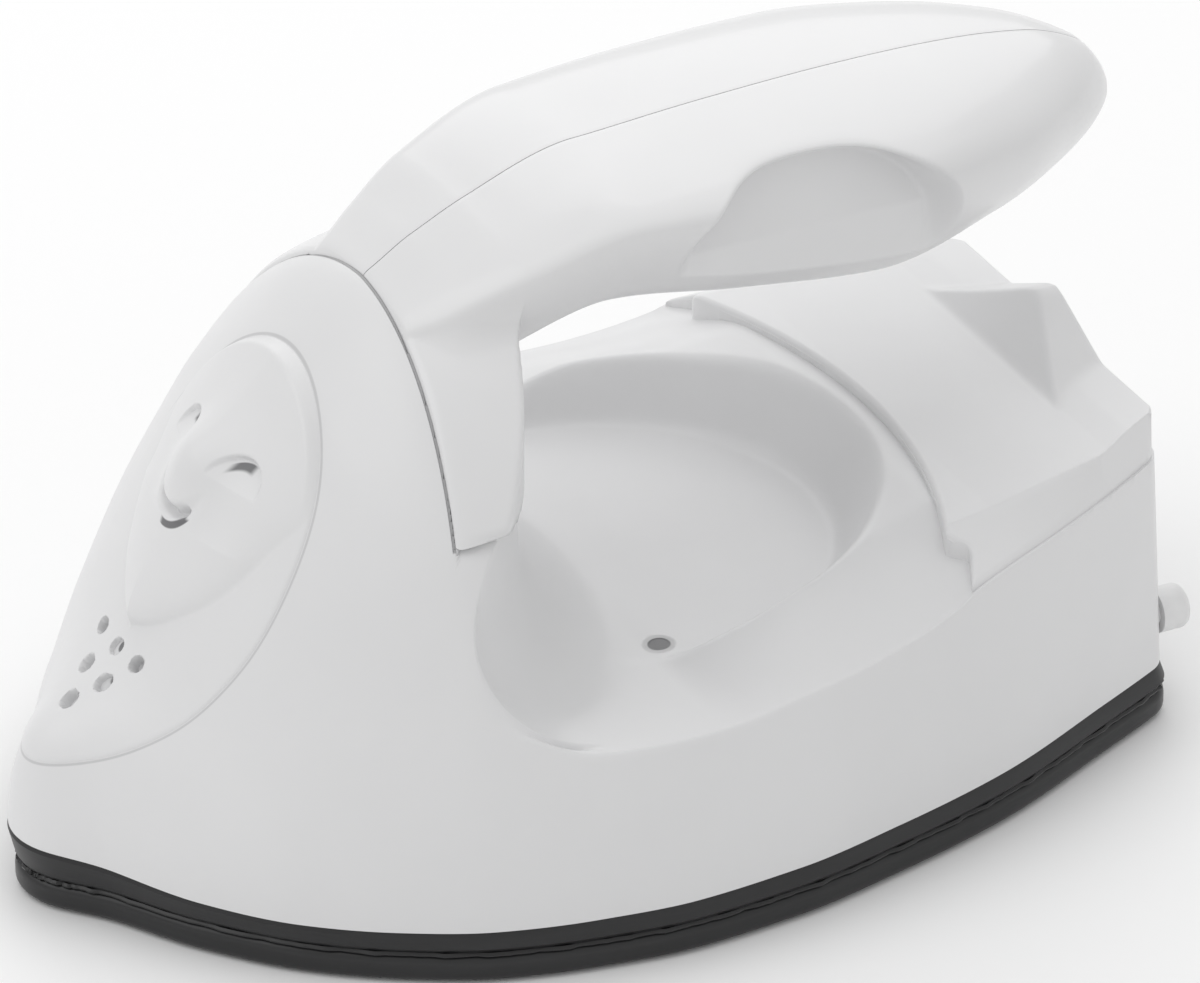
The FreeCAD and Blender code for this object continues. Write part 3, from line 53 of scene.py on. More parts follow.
# ---------------------------------------------------------------- curves
def curve(xs, ys):
    """Monotone cubic through (x, y) points as a function of an array; flat beyond its ends.

    y = y0 (1+2s)(1-s)^2 + m0 h s (1-s)^2 + y1 s^2 (3-2s) - m1 h s^2 (1-s), with s = (x-x0)/h.
    """
    xs = np.asarray(xs, float)
    ys = np.asarray(ys, float)
    step = np.diff(xs)
    slope = np.diff(ys) / step
    product = slope[:-1] * slope[1:]
    total = np.where(product > 0, slope[:-1] + slope[1:], 1.0)
    tangent = np.concatenate([slope[:1], np.where(product > 0, 2 * product / total, 0.0), slope[-1:]])

    def value(t):
        t = np.clip(t, xs[0], xs[-1])
        i = np.clip(np.searchsorted(xs, t, side="right") - 1, 0, len(step) - 1)
        s = (t - xs[i]) / step[i]
        return (ys[i] * (1 + 2 * s) * (1 - s) ** 2 + tangent[i] * step[i] * s * (1 - s) ** 2
                + ys[i + 1] * s * s * (3 - 2 * s) - tangent[i + 1] * step[i] * s * s * (1 - s))

    return value


def ease(t):
    """t^2 (3 - 2t), with t held between 0 and 1."""
    t = np.clip(t, 0.0, 1.0)
    return t * t * (3 - 2 * t)


def soft_min(a, b, width):
    """The lower of a and b, rounded over width."""
    h = np.clip(0.5 + 0.5 * (b - a) / width, 0.0, 1.0)
    return b + (a - b) * h - width * h * (1 - h)


def soft_max(a, b, width):
    """The higher of a and b, rounded over width."""
    return -soft_min(-a, -b, width)


def spaced(start, end, count, crowds):
    """Places from start to end, crowded by 1 + sum of strength exp(-((x - middle)/reach)^2)."""
    fine = np.linspace(start, end, 6000)
    density = np.ones_like(fine)
    for middle, reach, strength in crowds:
        density += strength * np.exp(-((fine - middle) / reach) ** 2)
    total = np.concatenate([[0.0], np.cumsum((density[1:] + density[:-1]) / 2)])
    return np.interp(np.linspace(0, total[-1], count), total, fine)


def solved(inside, low, high, steps=30):
    """Where inside(t) stops holding between low and high, by halving, for whole arrays at once."""
    low = np.array(low, float)
    high = np.array(high, float)
    for _ in range(steps):
        middle = (low + high) / 2
        good = inside(middle)
        low = np.where(good, middle, low)
        high = np.where(good, high, middle)
    return (low + high) / 2


# ---------------------------------------------------------------- form of the body, in millimetres
# x runs across the body, y from the nose to the tail, z up from the sole's underside. A value named
# SOFT is the width over which two surfaces blend, REACH a length over which something fades, and
# HALF a half width.
NOSE = -48.3
TAIL = 48.0
TAIL_CORNER = 1.6
BASE = 4.6
NOSE_LIFT_REACH = 7.0
TAIL_LEAN = 1.1
TAIL_HEIGHT = 23.0
TAIL_LEAN_FROM = 38.0

# Deck: a climbing plateau, its rim at shares of the half width, a round dish and the wall in front.
FLOOR = 18.4
DECK_CLIMB = 5.3
RIM_FROM = 0.58
RIM_TO = 0.97
RIM_SOFT = 1.5
DISH_Y = 4.5
DISH_LIFT = 0.1
DISH_RADIUS = 19.2
DISH_SLOPE = 1.8
DISH_SOFT = 1.4
DISH_EDGE_SOFT = 0.8
WALL_HALF = 23.2
WALL_FLANK = -21.6
WALL_BULGE = 14.3
WALL_SOFT = 0.12
WALL_FILLET = 12.0
WALL_FOOT_SOFT = 0.9
WALL_SLOPE = 30.0
LAMP_X = 16.6
LAMP_Y = 1.2

# Collar between body and handle: a plane that leans forward below the crown, the seat of its lower
# edge, and the tuck by which the flank draws in behind it.
COLLAR = -16.95
LEAN = 0.167
CROWN = 48.3
GROOVE_HALF = 21.9
SEAT_Y = -19.2
SEAT_Z = 34.9
SEAT_CLIMB = 0.16
SEAT_LEVEL = 2.0
SEAT_GAP = 0.1
ABOVE_ALL = 150.0
TUCK = 0.28
TUCK_FROM = -19.4
TUCK_TO = -7.0
TUCK_REACH = 7.0
TUCK_Z = 20.5
TUCK_RISE = 4.5
TUCK_SOFT = 0.8

# Nose plate: an ellipse seen from the front, and the shallow bed that it lies in.
PLATE_Z = 28.3
PLATE_A = 12.9
PLATE_B = 15.6
BED_DEPTH = 5.0
BED_SHARE = 0.97
BED_EDGE = 0.12
BED_END = -15.0

# Rear cover: an arched front edge, a flat field between chamfers, and a pyramid at the tail.
COVER_MARGIN = 0.3
COVER_FRONT = 28.9
COVER_ARC = 54.6
COVER_SHOULDER = 21.6
COVER_SETBACK = 2.2
COVER_FOOT = 19.0
COVER_FLAT = ([24, 40, 47, 49], [21.4, 19.5, 16.6, 16.1])
COVER_FIELD = ([24, 29, 41, 44, 49], [25.9, 26.2, 27.6, 28.1, 28.5])
CHAMFER_SOFT = 0.5
PEAK_FRONT = 41.0
PEAK_FOOT = 27.6
PEAK_SLOPE = 4.5 / 5.2
PEAK_TOP = 32.1
PEAK_HEIGHT = 4.3
PEAK_HALF = ([41, 46.2, 48], [10.3, 8.8, 8.4])
PEAK_CUT = 32.0
PEAK_EDGE_SOFT = 0.4
PEAK_CUT_SOFT = 0.7
PEAK_FOOT_SOFT = 0.35

# Curves along y, the groove's along x. The hull's two hold squares, so that the nose is round.
_width_square = curve([-48.3, -44.1, -39.1, -33.3, -26.8, -19.7, -11.8, -3.4, 6, 16.2, 27.1, 39.4, 48.2],
                      np.square([0, 7.2, 14.9, 21.3, 26, 29.5, 31.5, 32.5, 31.9, 29.8, 26.7, 21.2, 16.9]))
_rise_square = curve(
    [-48.3, -47.2, -45.6, -43, -38.7, -34.1, -29.5, -26.3, -23.3, -16.7, -8, 0, 15, 30, 48.2],
    np.square([0, 8.1, 10.4, 12.3, 15.9, 23, 30.8, 35.2, 39.1, 44.3, 45.9, 48.4, 59.4, 95.4, 155]))
_rim = curve([-7.5, -3.2, 1.9, 6.6, 12.7, 17.9, 22.8, 25, 30, 36, 48],
             [18.5, 18.4, 18.7, 19.4, 19.8, 20.5, 21.7, 22.6, 23.4, 23.7, 24.2])
_climb = curve([0, 6.5, 13, 19, 26], [0, 0.62, 1, 1.04, 1.26])
_groove = curve([0, 6, 12, 16, 19, 21, 21.9], [-16.7, -16.8, -17.3, -17.9, -18.5, -19.0, -19.3])
_cover_low = curve([20, 24.7, 30, 36, 41, 48.2], [22.3, 23.0, 23.8, 24.1, 24.3, 24.8])


def half_width(y):
    """Half width of the body's lower edge: a square-root curve, with rounded tail corners."""
    w = np.sqrt(np.maximum(_width_square(y), 0.0))
    corner = np.clip(y - (TAIL - TAIL_CORNER), 0.0, TAIL_CORNER)
    return w - (TAIL_CORNER - np.sqrt(np.maximum(TAIL_CORNER ** 2 - corner ** 2, 0.0)))


def rise(y):
    """Height of the body's elliptical section above its lower edge."""
    return np.sqrt(np.maximum(_rise_square(y), 0.0))


def nose_lift(y):
    """exp(-((y - NOSE) / reach)^2): 1 at the nose, nearly 0 behind it."""
    return np.exp(-((y - NOSE) / NOSE_LIFT_REACH) ** 2)


def lower_edge(y):
    """Height of the seam between body and skirt, which lifts by 1 mm at the nose."""
    return BASE + nose_lift(y)


def hull_top(x, y):
    """z = BASE + rise(y) sqrt(1 - (x / half_width)^2)."""
    w = np.maximum(half_width(y), 1e-6)
    return BASE + rise(y) * np.sqrt(np.clip(1 - (x / w) ** 2, 0.0, 1.0))


def tail_lean(y, z):
    """y after the tail wall's lean: it comes forward in proportion to its height."""
    share = ease((y - TAIL_LEAN_FROM) / (TAIL - TAIL_LEAN_FROM))
    return y - TAIL_LEAN * (z - BASE) / TAIL_HEIGHT * share


def cover_edge(y):
    """Half width of the rear cover: the hull's at the height of the cover's lower edge, less a margin."""
    sunk = (_cover_low(y) - BASE) / rise(y)
    return half_width(y) * np.sqrt(1 - sunk ** 2) - COVER_MARGIN


def seat(y):
    """Height of the collar's lower edge, which climbs a little towards the pillar."""
    return SEAT_Z + SEAT_CLIMB * np.maximum(y - SEAT_Y, -SEAT_LEVEL)


def wall_line(x):
    """y of the body's wall under the pillar, half an ellipse with softened ends.

    y = WALL_FLANK + WALL_BULGE sqrt((t + sqrt(t^2 + soft^2)) / 2), with t = 1 - (x / WALL_HALF)^2.
    """
    t = 1 - (x / WALL_HALF) ** 2
    return WALL_FLANK + WALL_BULGE * np.sqrt((t + np.sqrt(t * t + WALL_SOFT ** 2)) / 2)


def deck_top(x, y):
    """Height of the scooped deck: plateau, falling rim, round dish and filleted front wall.

    The dish is a cone with a soft foot, and the wall's foot a quarter circle of radius WALL_FILLET.
    """
    w = np.maximum(half_width(y), 1e-6)
    plateau = FLOOR + DECK_CLIMB * _climb(y)
    share = (np.abs(x) / w - RIM_FROM) / (RIM_TO - RIM_FROM)
    z = plateau + (_rim(y) - plateau) * ease(share)
    r = np.hypot(x, y - DISH_Y)
    dish = FLOOR + DISH_LIFT + soft_max(0.0, (r - DISH_RADIUS) * DISH_SLOPE, DISH_SOFT)
    z = soft_min(z, dish, DISH_EDGE_SOFT)
    behind = y - wall_line(x)
    reach = np.clip(WALL_FILLET - behind, 0.0, WALL_FILLET)
    wall = FLOOR + WALL_FILLET - np.sqrt(WALL_FILLET ** 2 - reach ** 2)
    z = soft_max(z, wall, WALL_FOOT_SOFT)
    return np.where(behind < 0, np.minimum(wall - WALL_SLOPE * behind, seat(y) - SEAT_GAP), z)


def groove_y(x):
    """Plan line of the groove between body and collar."""
    return _groove(np.abs(x))


def tucked(x, y):
    """Distance from the middle plane, made larger where the flank draws in behind the collar."""
    behind = soft_max(y - TUCK_FROM, 0.0, TUCK_SOFT)
    upper = ease((hull_top(x, y) - TUCK_Z) / TUCK_RISE)
    return np.abs(x) + TUCK * behind * upper * ease((TUCK_TO - y) / TUCK_REACH)


def body_top(x, y):
    """The body's upper surface as one height, with a soft rim where hull and deck meet.

    In front of the groove there is no deck, and the hull is sunk into a bed under the nose plate.
    """
    free = y < groove_y(x)
    cap = np.where(free, ABOVE_ALL, deck_top(x, y))
    hull = hull_top(tucked(x, y), y)
    oval = np.hypot(x / PLATE_A, (hull - PLATE_Z) / PLATE_B)
    hull = hull - BED_DEPTH * ease((BED_SHARE - oval) / BED_EDGE) * ease(BED_END - y)
    return np.where(free & (np.abs(x) < GROOVE_HALF), hull, soft_min(hull, cap, RIM_SOFT))


def cover_arc(x):
    """y of the cover's front edge: an arc of radius COVER_ARC, set back at the flanks."""
    sag = COVER_ARC - np.sqrt(COVER_ARC ** 2 - x ** 2)
    return COVER_FRONT - sag + COVER_SETBACK * ease((np.abs(x) - COVER_SHOULDER) / COVER_SETBACK)


def cover_top(x, y):
    """Top of the rear cover: the lower of field and chamfer, or the pyramid where that is higher.

    The pyramid is the lowest of its front plane, its flank planes and a level cut.
    """
    flat = np.interp(y, *COVER_FLAT)
    field = np.interp(y, *COVER_FIELD)
    fall = np.clip((np.abs(x) - flat) / np.maximum(cover_edge(y) - flat, 0.2), 0.0, 1.0)
    chamfer = field + (_cover_low(y) - field) * fall
    z = soft_min(field, chamfer, CHAMFER_SOFT)
    front = PEAK_FOOT + (y - PEAK_FRONT) * PEAK_SLOPE
    flank = PEAK_TOP - np.abs(x) * (PEAK_HEIGHT / np.interp(y, *PEAK_HALF))
    peak = soft_min(soft_min(front, flank, PEAK_EDGE_SOFT), PEAK_CUT, PEAK_CUT_SOFT)
    return soft_max(z, peak, PEAK_FOOT_SOFT)


# ---------------------------------------------------------------- form of the handle
# Grip with a superellipse section, and the pillar that continues the hull above the collar.
GRIP_END = 50.15
TIP_FROM = 43.0
TIP_REACH = 5.0
POWER_ABOVE = 2.3
POWER_BELOW = 1.6
PILLAR_HALF = 24.2
PILLAR_FLANK = -19.6
PILLAR_BULGE = 12.3
PILLAR_SOFT = 0.004
PILLAR_PROUD = 0.12
UPRIGHT_REACH = 14.0
HALF_GAP = 0.05
COLLAR_GAP = 0.12

# Blend of grip and pillar, the rounded edge at the collar and the shallow parting line.
BLEND = 3.0
BLEND_LEAST = 0.3
BLEND_REACH = 4.0
EDGE_ROUND = 0.3
EDGE_REACH = 0.2
PARTING_DEPTH = 0.03
PARTING_HALF = 0.22

# Finger recess: a superellipse in y and z with a floor that tapers above RECESS_SHOULDER.
RECESS_Y = 17.4
RECESS_LENGTH = 12.6
RECESS_HEIGHT = 9.2
RECESS_POWER = 2.5
RECESS_EDGE = 0.17
RECESS_FLOOR = 11.0
RECESS_SHOULDER = 50.0
RECESS_TAPER = 0.33

# Curves along y: squares of the grip's sizes, so that its tip is round, the height of its side
# ridge, and the line inside the handle from which its rings are drawn.
_grip_at = [-24, -16, -8, 2, 14, 26, 36, 43, 48, GRIP_END]
_grip_half = curve(_grip_at, np.square([5.2, 8.6, 11.8, 13.6, 15.0, 15.4, 13.0, 9.0, 4.6, 0.0]))
_grip_ridge = curve(_grip_at, [44.2, 47.5, 51.5, 54.3, 53.9, 53.4, 52.7, 52.2, 51.0, 50.2])
_grip_up = curve(_grip_at, np.square([1.2, 1.8, 2.1, 2.3, 3.4, 4.2, 4.6, 4.2, 3.4, 0.0]))
_grip_down = curve(_grip_at, np.square([9.6, 10.3, 11.7, 11.6, 13.0, 14.1, 11.0, 8.2, 4.2, 0.0]))
_middle_z = curve([-17, -8, 2, 14, 26, 36, 43, 48, GRIP_END],
                  [43.2, 45.5, 49.0, 50.0, 49.5, 49.8, 50.5, 50.6, 49.46])


def grip_inside(x, y, z):
    """Superellipse section, squarer above the side ridge and slimmer below it."""
    ridge = _grip_ridge(y)
    half = np.sqrt(np.maximum(_grip_half(y), 1e-8))
    up = np.sqrt(np.maximum(_grip_up(y), 1e-8))
    down = np.sqrt(np.maximum(_grip_down(y), 1e-8))
    above = (np.abs(x) / half) ** POWER_ABOVE + (np.maximum(z - ridge, 0) / up) ** POWER_ABOVE
    below = (np.abs(x) / half) ** POWER_BELOW + (np.maximum(ridge - z, 0) / down) ** POWER_BELOW
    return np.where(z >= ridge, above, below) < 1


def pillar_rear(x):
    """y of the pillar's bulging rear face, half an ellipse in plan with a softened root."""
    root = math.sqrt(PILLAR_SOFT)
    bulge = np.sqrt(np.clip(1 - (x / PILLAR_HALF) ** 2, 0.0, 1.0) + PILLAR_SOFT) - root
    return PILLAR_FLANK + PILLAR_BULGE / (math.sqrt(1 + PILLAR_SOFT) - root) * bulge


def pillar_inside(x, y, z):
    """Above the seat, under a surface just proud of the hull, and in front of the pillar's rear face."""
    return (z > seat(y) + SEAT_GAP) & (z < hull_top(x, y) + PILLAR_PROUD) & (y < pillar_rear(x))


def recessed(x, y, z, middle):
    """x after the finger recess: the lower of x and the floor inside a superellipse about middle."""
    away = (np.abs(y - RECESS_Y) / RECESS_LENGTH) ** RECESS_POWER
    away = away + (np.abs(z - middle) / RECESS_HEIGHT) ** RECESS_POWER
    share = ease((1.0 - away ** (1 / RECESS_POWER)) / RECESS_EDGE)
    floor = RECESS_FLOOR - RECESS_TAPER * np.maximum(z - RECESS_SHOULDER, 0.0)
    return x + (np.minimum(x, floor) - x) * share


def handle_rings(settings, recess_z):
    """Half of the handle, as rings about a line inside it.

    A ring lies in a plane that leans with the collar at the front and stands upright further back.
    Along each direction a the surface is at r(a), the softened larger of grip and pillar, with
    x = r cos a and z = middle + r sin a. The finger recess then moves x alone.
    """
    along = spaced(COLLAR + COLLAR_GAP, GRIP_END - 0.01, settings.handle_rings,
                   [(-16.6, 0.8, 5), (-7.6, 1.0, 5), (50.6, 1.2, 8), (9, 2.5, 1), (31, 2.5, 1)])
    turn = spaced(-math.pi / 2, math.pi / 2, settings.handle_points,
                  [(math.pi / 2, 0.06, 6), (0.62, 0.16, 2.5), (-0.8, 0.16, 1.5)])
    s = along[:, None]
    a = turn[None, :]
    middle = _middle_z(s)
    middle = middle + (_grip_ridge(s) - middle) * ease((s - TIP_FROM) / TIP_REACH)
    lean = LEAN * (1 - ease((s - COLLAR) / UPRIGHT_REACH))

    def place(r):
        x = r * np.cos(a)
        z = middle + r * np.sin(a)
        return x, s - lean * (CROWN - z), z

    near = np.zeros((len(along), len(turn)))
    far = near + 34.0
    grip = solved(lambda r: grip_inside(*place(r)), near, far)
    pillar = solved(lambda r: pillar_inside(*place(r)), near, far)
    r = soft_max(grip, pillar, BLEND * ease((s - COLLAR) / BLEND_REACH) + BLEND_LEAST)
    edge = EDGE_ROUND * np.exp(-(s - along[0]) / EDGE_REACH)
    parting = PARTING_DEPTH * np.exp(-(r * np.cos(a) / PARTING_HALF) ** 2) * (a > 0)
    x, y, z = place(np.maximum(r - edge - parting, 0.0))
    x = recessed(x, y, z, recess_z)
    return np.stack([np.maximum(x, 0.0) + HALF_GAP, y, z], -1)


# ---------------------------------------------------------------- meshes
def linked(name, data):
    """A new object of the scene."""
    obj = bpy.data.objects.new(name, data)
    bpy.context.scene.collection.objects.link(obj)
    return obj


def mesh_object(name, points, faces, sharp):
    """A mesh from points in millimetres and faces, shaded smooth but for edges over sharp degrees."""
    mesh = bpy.data.meshes.new(name)
    mesh.from_pydata((np.asarray(points) * MM).tolist(), [], faces)
    mesh.update()
    mesh.validate()
    mesh.polygons.foreach_set("use_smooth", np.ones(len(mesh.polygons), bool))
    mesh.set_sharp_from_angle(angle=math.radians(sharp))
    return linked(name, mesh)


def grid_faces(rows, columns, closed_rows=False, closed_columns=False):
    """Quads between neighbouring points of a grid, which may close on itself either way."""
    i = np.arange(rows if closed_rows else rows - 1)[:, None]
    j = np.arange(columns if closed_columns else columns - 1)[None, :]
    n = (i + 1) % rows
    k = (j + 1) % columns
    corners = [i * columns + j, i * columns + k, n * columns + k, n * columns + j]
    return np.stack(corners, -1).reshape(-1, 4)


def border(grid):
    """A grid's outermost points, in order round it."""
    return np.concatenate([grid[0, :], grid[1:, -1], grid[-1, -2::-1], grid[-2:0:-1, 0]])


def ring_mesh(name, rings, start, end, sharp, flip=False):
    """Closed rings joined into one closed surface, with a point at either end."""
    rows, columns = rings.shape[:2]
    points = np.concatenate([rings.reshape(-1, 3), [start, end]])
    faces = grid_faces(rows, columns, closed_columns=True).tolist()
    j = np.arange(columns)
    k = (j + 1) % columns
    first = rows * columns
    low = np.stack([np.full(columns, first), k, j], -1)
    high = np.stack([np.full(columns, first + 1), (rows - 1) * columns + j, (rows - 1) * columns + k], -1)
    faces += low.tolist() + high.tolist()
    if flip:
        faces = [face[::-1] for face in faces]
    return mesh_object(name, points, faces, sharp)


# Where along the body its rings bend with the wall under the pillar.
BEND_Y = -13.0
BEND_REACH = 9.0


def body_object(settings):
    """White shell from rings across the body: a half ring over the top and a flat bottom.

    A ring's points are at x = half_width cos a, z = body_top(x, y), for a from 0 to pi. Its plane
    bends with the wall under the pillar, so that the wall runs along grid lines.
    """
    base = spaced(NOSE + 0.01, TAIL, settings.body_rings,
                  [(NOSE, 0.5, 8), (NOSE + 3, 4, 1), (-14.5, 4.2, 4.0), (TAIL, 1.0, 4)])
    turn = spaced(0, math.pi, settings.body_points,
                  [(0.28, 0.12, 1.2), (math.pi - 0.28, 0.12, 1.2),
                   (0.56, 0.16, 1.2), (math.pi - 0.56, 0.16, 1.2)])
    t = base[:, None]
    a = turn[None, :]
    bend = np.exp(-((t - BEND_Y) / BEND_REACH) ** 2)
    y = t + bend * (wall_line(half_width(t) * np.cos(a)) - BEND_Y)
    x = half_width(y) * np.cos(a)
    z = np.where(np.sin(a) < 1e-9, BASE, body_top(x, y))
    z = np.maximum(z, lower_edge(y))
    rings = np.stack([x, tail_lean(y, z), z], -1)
    tip = (0, NOSE, lower_edge(NOSE))
    back = (0, TAIL - 0.5, 12)
    return ring_mesh("body", rings, tip, back, 60.0, flip=True)


def cover_object(settings):
    """Rear cover: a top grid with a quarter-round edge, and a wall down into the deck all round it."""
    rows, columns = settings.cover_rows, settings.cover_columns
    v = spaced(0, 1, rows, [(0, 0.03, 6), (1, 0.05, 4), (0.62, 0.06, 1)])[:, None]
    u = spaced(-1, 1, columns, [(-1, 0.05, 5), (1, 0.05, 5), (-0.8, 0.06, 2), (0.8, 0.06, 2)])[None, :]
    front = cover_arc(u * cover_edge(25 + 22 * v))
    y = front + (TAIL - 0.02 - front) * v
    x = u * cover_edge(y)
    z = cover_top(x, y)
    radius = settings.cover_round / MM
    near = np.minimum(np.minimum(y - cover_arc(x), TAIL - y), (1 - np.abs(u)) * cover_edge(y))
    share = np.clip(near / radius, 0, 1)
    z = z - radius * (1 - np.sqrt(np.clip(1 - (1 - share) ** 2, 0, 1)))
    top = np.stack([x, tail_lean(y, z), z], -1)
    foot = border(top) * [0.995, 1, 0] + [0, 0.02, COVER_FOOT]
    points = np.concatenate([top.reshape(-1, 3), foot, [[0, 38, COVER_FOOT]]])
    faces = grid_faces(rows, columns).tolist()
    edge = border(np.arange(rows * columns).reshape(rows, columns))
    count = len(edge)
    k = np.arange(count)
    n = (k + 1) % count
    low = rows * columns
    faces += np.stack([edge[k], low + k, low + n, edge[n]], -1).tolist()
    faces += np.stack([low + k, np.full(count, low + count), low + n], -1).tolist()
    return mesh_object("rear_cover", points, faces, 35.0)


def handle_objects(settings):
    """The two halves of the handle; the left one is mirrored and has its recess lower."""
    rings = handle_rings(settings, settings.recess_right / MM)
    first = rings[0].mean(0)
    last = rings[-1].mean(0)
    right = ring_mesh("handle_right", rings, first, last, 75.0)
    rings = handle_rings(settings, settings.recess_left / MM)
    mirror = [-1, 1, 1]
    left = ring_mesh("handle_left", rings * mirror, first * mirror, last * mirror, 75.0, flip=True)
    return left, right


# Nose plate: half width of the raised mask at each height, and the places and sizes of its features.
_mask = curve([14, 22.0, 23.0, 24.8, 26.6, 28.5, 30.3, 32.2, 34.5, 38, 46],
              [-6, 0.0, 2.2, 4.8, 6.8, 8.2, 9.2, 10.0, 11.2, 12.6, 15])
MASK_FALL = 2.4
MASK_FALL_CLIMB = 1.2
MASK_FALL_FROM = 30.5
BUMP_HEIGHT = 1.7
BUMP_RADIUS = 3.1
BUMP_Z = 34.0
BRIDGE_HEIGHT = 0.4
BRIDGE_RADIUS = 3.0
BRIDGE_Z = (33.0, 43.0)
EYE_X = 4.5
EYE_Z = 34.6
EYE_R = 2.4
EYE_DEPTH = 0.65
SMILE_Z = 34.0
SMILE_R = 3.0
SMILE_HALF = 0.4
SMILE_DEPTH = 0.4
MOUTH_DEPTH = 0.9
VENTS = ((-3.55, 20.5), (-0.15, 20.45), (3.0, 20.4), (-1.75, 18.55), (1.5, 18.5), (0.0, 16.8))
VENT_SLANT = 1.4
VENT_R = 0.8
VENT_DEPTH = 1.5
PLATE_LIFT = 0.16
PLATE_ROUND = 0.35
PLATE_DEPTH = 0.9


def face_relief(x, z, mask_height):
    """Outward relief of the nose plate in millimetres.

    The mask rises from its edge as height (1 - exp(-inside / fall)), with a fall that lengthens
    upwards. The nose is a bump, exp(-0.95 (r / radius)^2.3), under a low bridge. The eyes are half
    discs that deepen upwards, the smile a bent groove with a deeper middle, the vents round pits.
    """
    inside = soft_max(_mask(z) - np.abs(x), 0.0, 0.25)
    fall = MASK_FALL + MASK_FALL_CLIMB * np.maximum(z - MASK_FALL_FROM, 0.0)
    relief = mask_height * (1 - np.exp(-inside / fall))
    square = (x / BUMP_RADIUS) ** 2 + ((z - BUMP_Z) / BUMP_RADIUS) ** 2
    relief = relief + BUMP_HEIGHT * np.exp(-0.95 * square ** 1.15)
    bridge = ease((z - BRIDGE_Z[0]) / 3) * ease((BRIDGE_Z[1] - z) / 7)
    relief = relief + BRIDGE_HEIGHT * np.exp(-(x / BRIDGE_RADIUS) ** 2) * bridge
    across = np.abs(x) - EYE_X
    up = z - EYE_Z
    disc = ease((EYE_R - np.hypot(across, up)) / 0.25)
    relief = relief - EYE_DEPTH * disc * np.clip(up / EYE_R, 0.0, 1.0) ** 0.8
    r = np.hypot(x, z - SMILE_Z)
    low = np.abs(np.arctan2(z - SMILE_Z, x) + math.pi / 2)
    smile = np.exp(-((r - SMILE_R) / SMILE_HALF) ** 2) * ease((1.5 - low) / 0.8)
    relief = relief - (SMILE_DEPTH + MOUTH_DEPTH * ease((0.85 - low) / 0.25)) * smile
    for vx, vz in VENTS:
        r = np.hypot(x - vx, (z - vz) * VENT_SLANT)
        relief = relief - VENT_DEPTH * ease((VENT_R - r) / 0.22)
    return relief


def plate_surface(x, z):
    """y of the hull at (x, z) on the nose, by halving between the pillar and the nose."""
    return -solved(lambda t: hull_top(x, -t) > z, 0 * x + 8.0, 0 * x - NOSE - 0.01)


def nose_object(settings):
    """Nose plate: rings of an ellipse seen from the front, laid on the hull and raised by its relief.

    A point moves along the hull's normal, which comes from the slopes of its y in x and z. The
    relief fades out near the plate's edge, which is a quarter round.
    """
    share = spaced(0.004, 1.0, settings.plate_rings, [(1.0, 0.02, 3), (0.35, 0.3, 0.6)])[:, None]
    turn = np.linspace(0, 2 * math.pi, settings.plate_points, endpoint=False)[None, :]
    x = PLATE_A * share * np.cos(turn)
    z = PLATE_Z + PLATE_B * share * np.sin(turn)
    step = 0.15
    slope_x = (plate_surface(x + step, z) - plate_surface(x - step, z)) / (2 * step)
    slope_z = (plate_surface(x, z + step) - plate_surface(x, z - step)) / (2 * step)
    normal = np.stack([slope_x, -np.ones_like(x), slope_z], -1)
    normal = normal / np.linalg.norm(normal, axis=-1, keepdims=True)
    edge = 1 - np.sqrt(np.clip(1 - np.clip((share - 0.965) / 0.035, 0, 1) ** 2, 0, 1))
    relief = face_relief(x, z, settings.mask_height / MM)
    lift = PLATE_LIFT + relief * ease((1 - share) / 0.06) - PLATE_ROUND * edge
    points = np.stack([x, plate_surface(x, z), z], -1)
    front = points + normal * lift[..., None]
    back = points[-1:] - normal[-1:] * PLATE_DEPTH
    rings = np.concatenate([front, back])
    middle = float(plate_surface(np.zeros(1), np.full(1, PLATE_Z))[0])
    behind = np.array([0.0, middle + 3.0, PLATE_Z])
    return ring_mesh("nose_plate_face", rings, front[0].mean(0), behind, 50.0, flip=True)


# Base: points across half the tail, the band's outward fit along y, and the bead's waves, each with
# its count round the outline, its size and its start.
TAIL_POINTS = 12
BASE_FIT = ([NOSE, -20, TAIL], [-0.5, 0.1, 0.4])
WAVES = ((61, 1.0, 0), (97, 0.7, 1), (173, 0.6, 2))


def outline(count):
    """Points of the lower edge in plan, anticlockwise from the nose, with outward normals."""
    y = spaced(NOSE, TAIL, count, [(NOSE, 0.4, 40), (NOSE + 1.5, 2.0, 4), (TAIL, 0.8, 12)])
    w = half_width(y)
    tail = np.linspace(1, 0, TAIL_POINTS)[1:] * w[-1]
    right = np.concatenate([np.stack([w, y], -1), np.stack([tail, np.full(len(tail), TAIL)], -1)])
    left = right[-2:0:-1] * [-1, 1]
    loop = np.concatenate([right, left])
    ahead = np.roll(loop, -1, 0) - np.roll(loop, 1, 0)
    normal = np.stack([ahead[:, 1], -ahead[:, 0]], -1)
    return loop, normal / np.maximum(np.linalg.norm(normal, axis=1, keepdims=True), 1e-9)


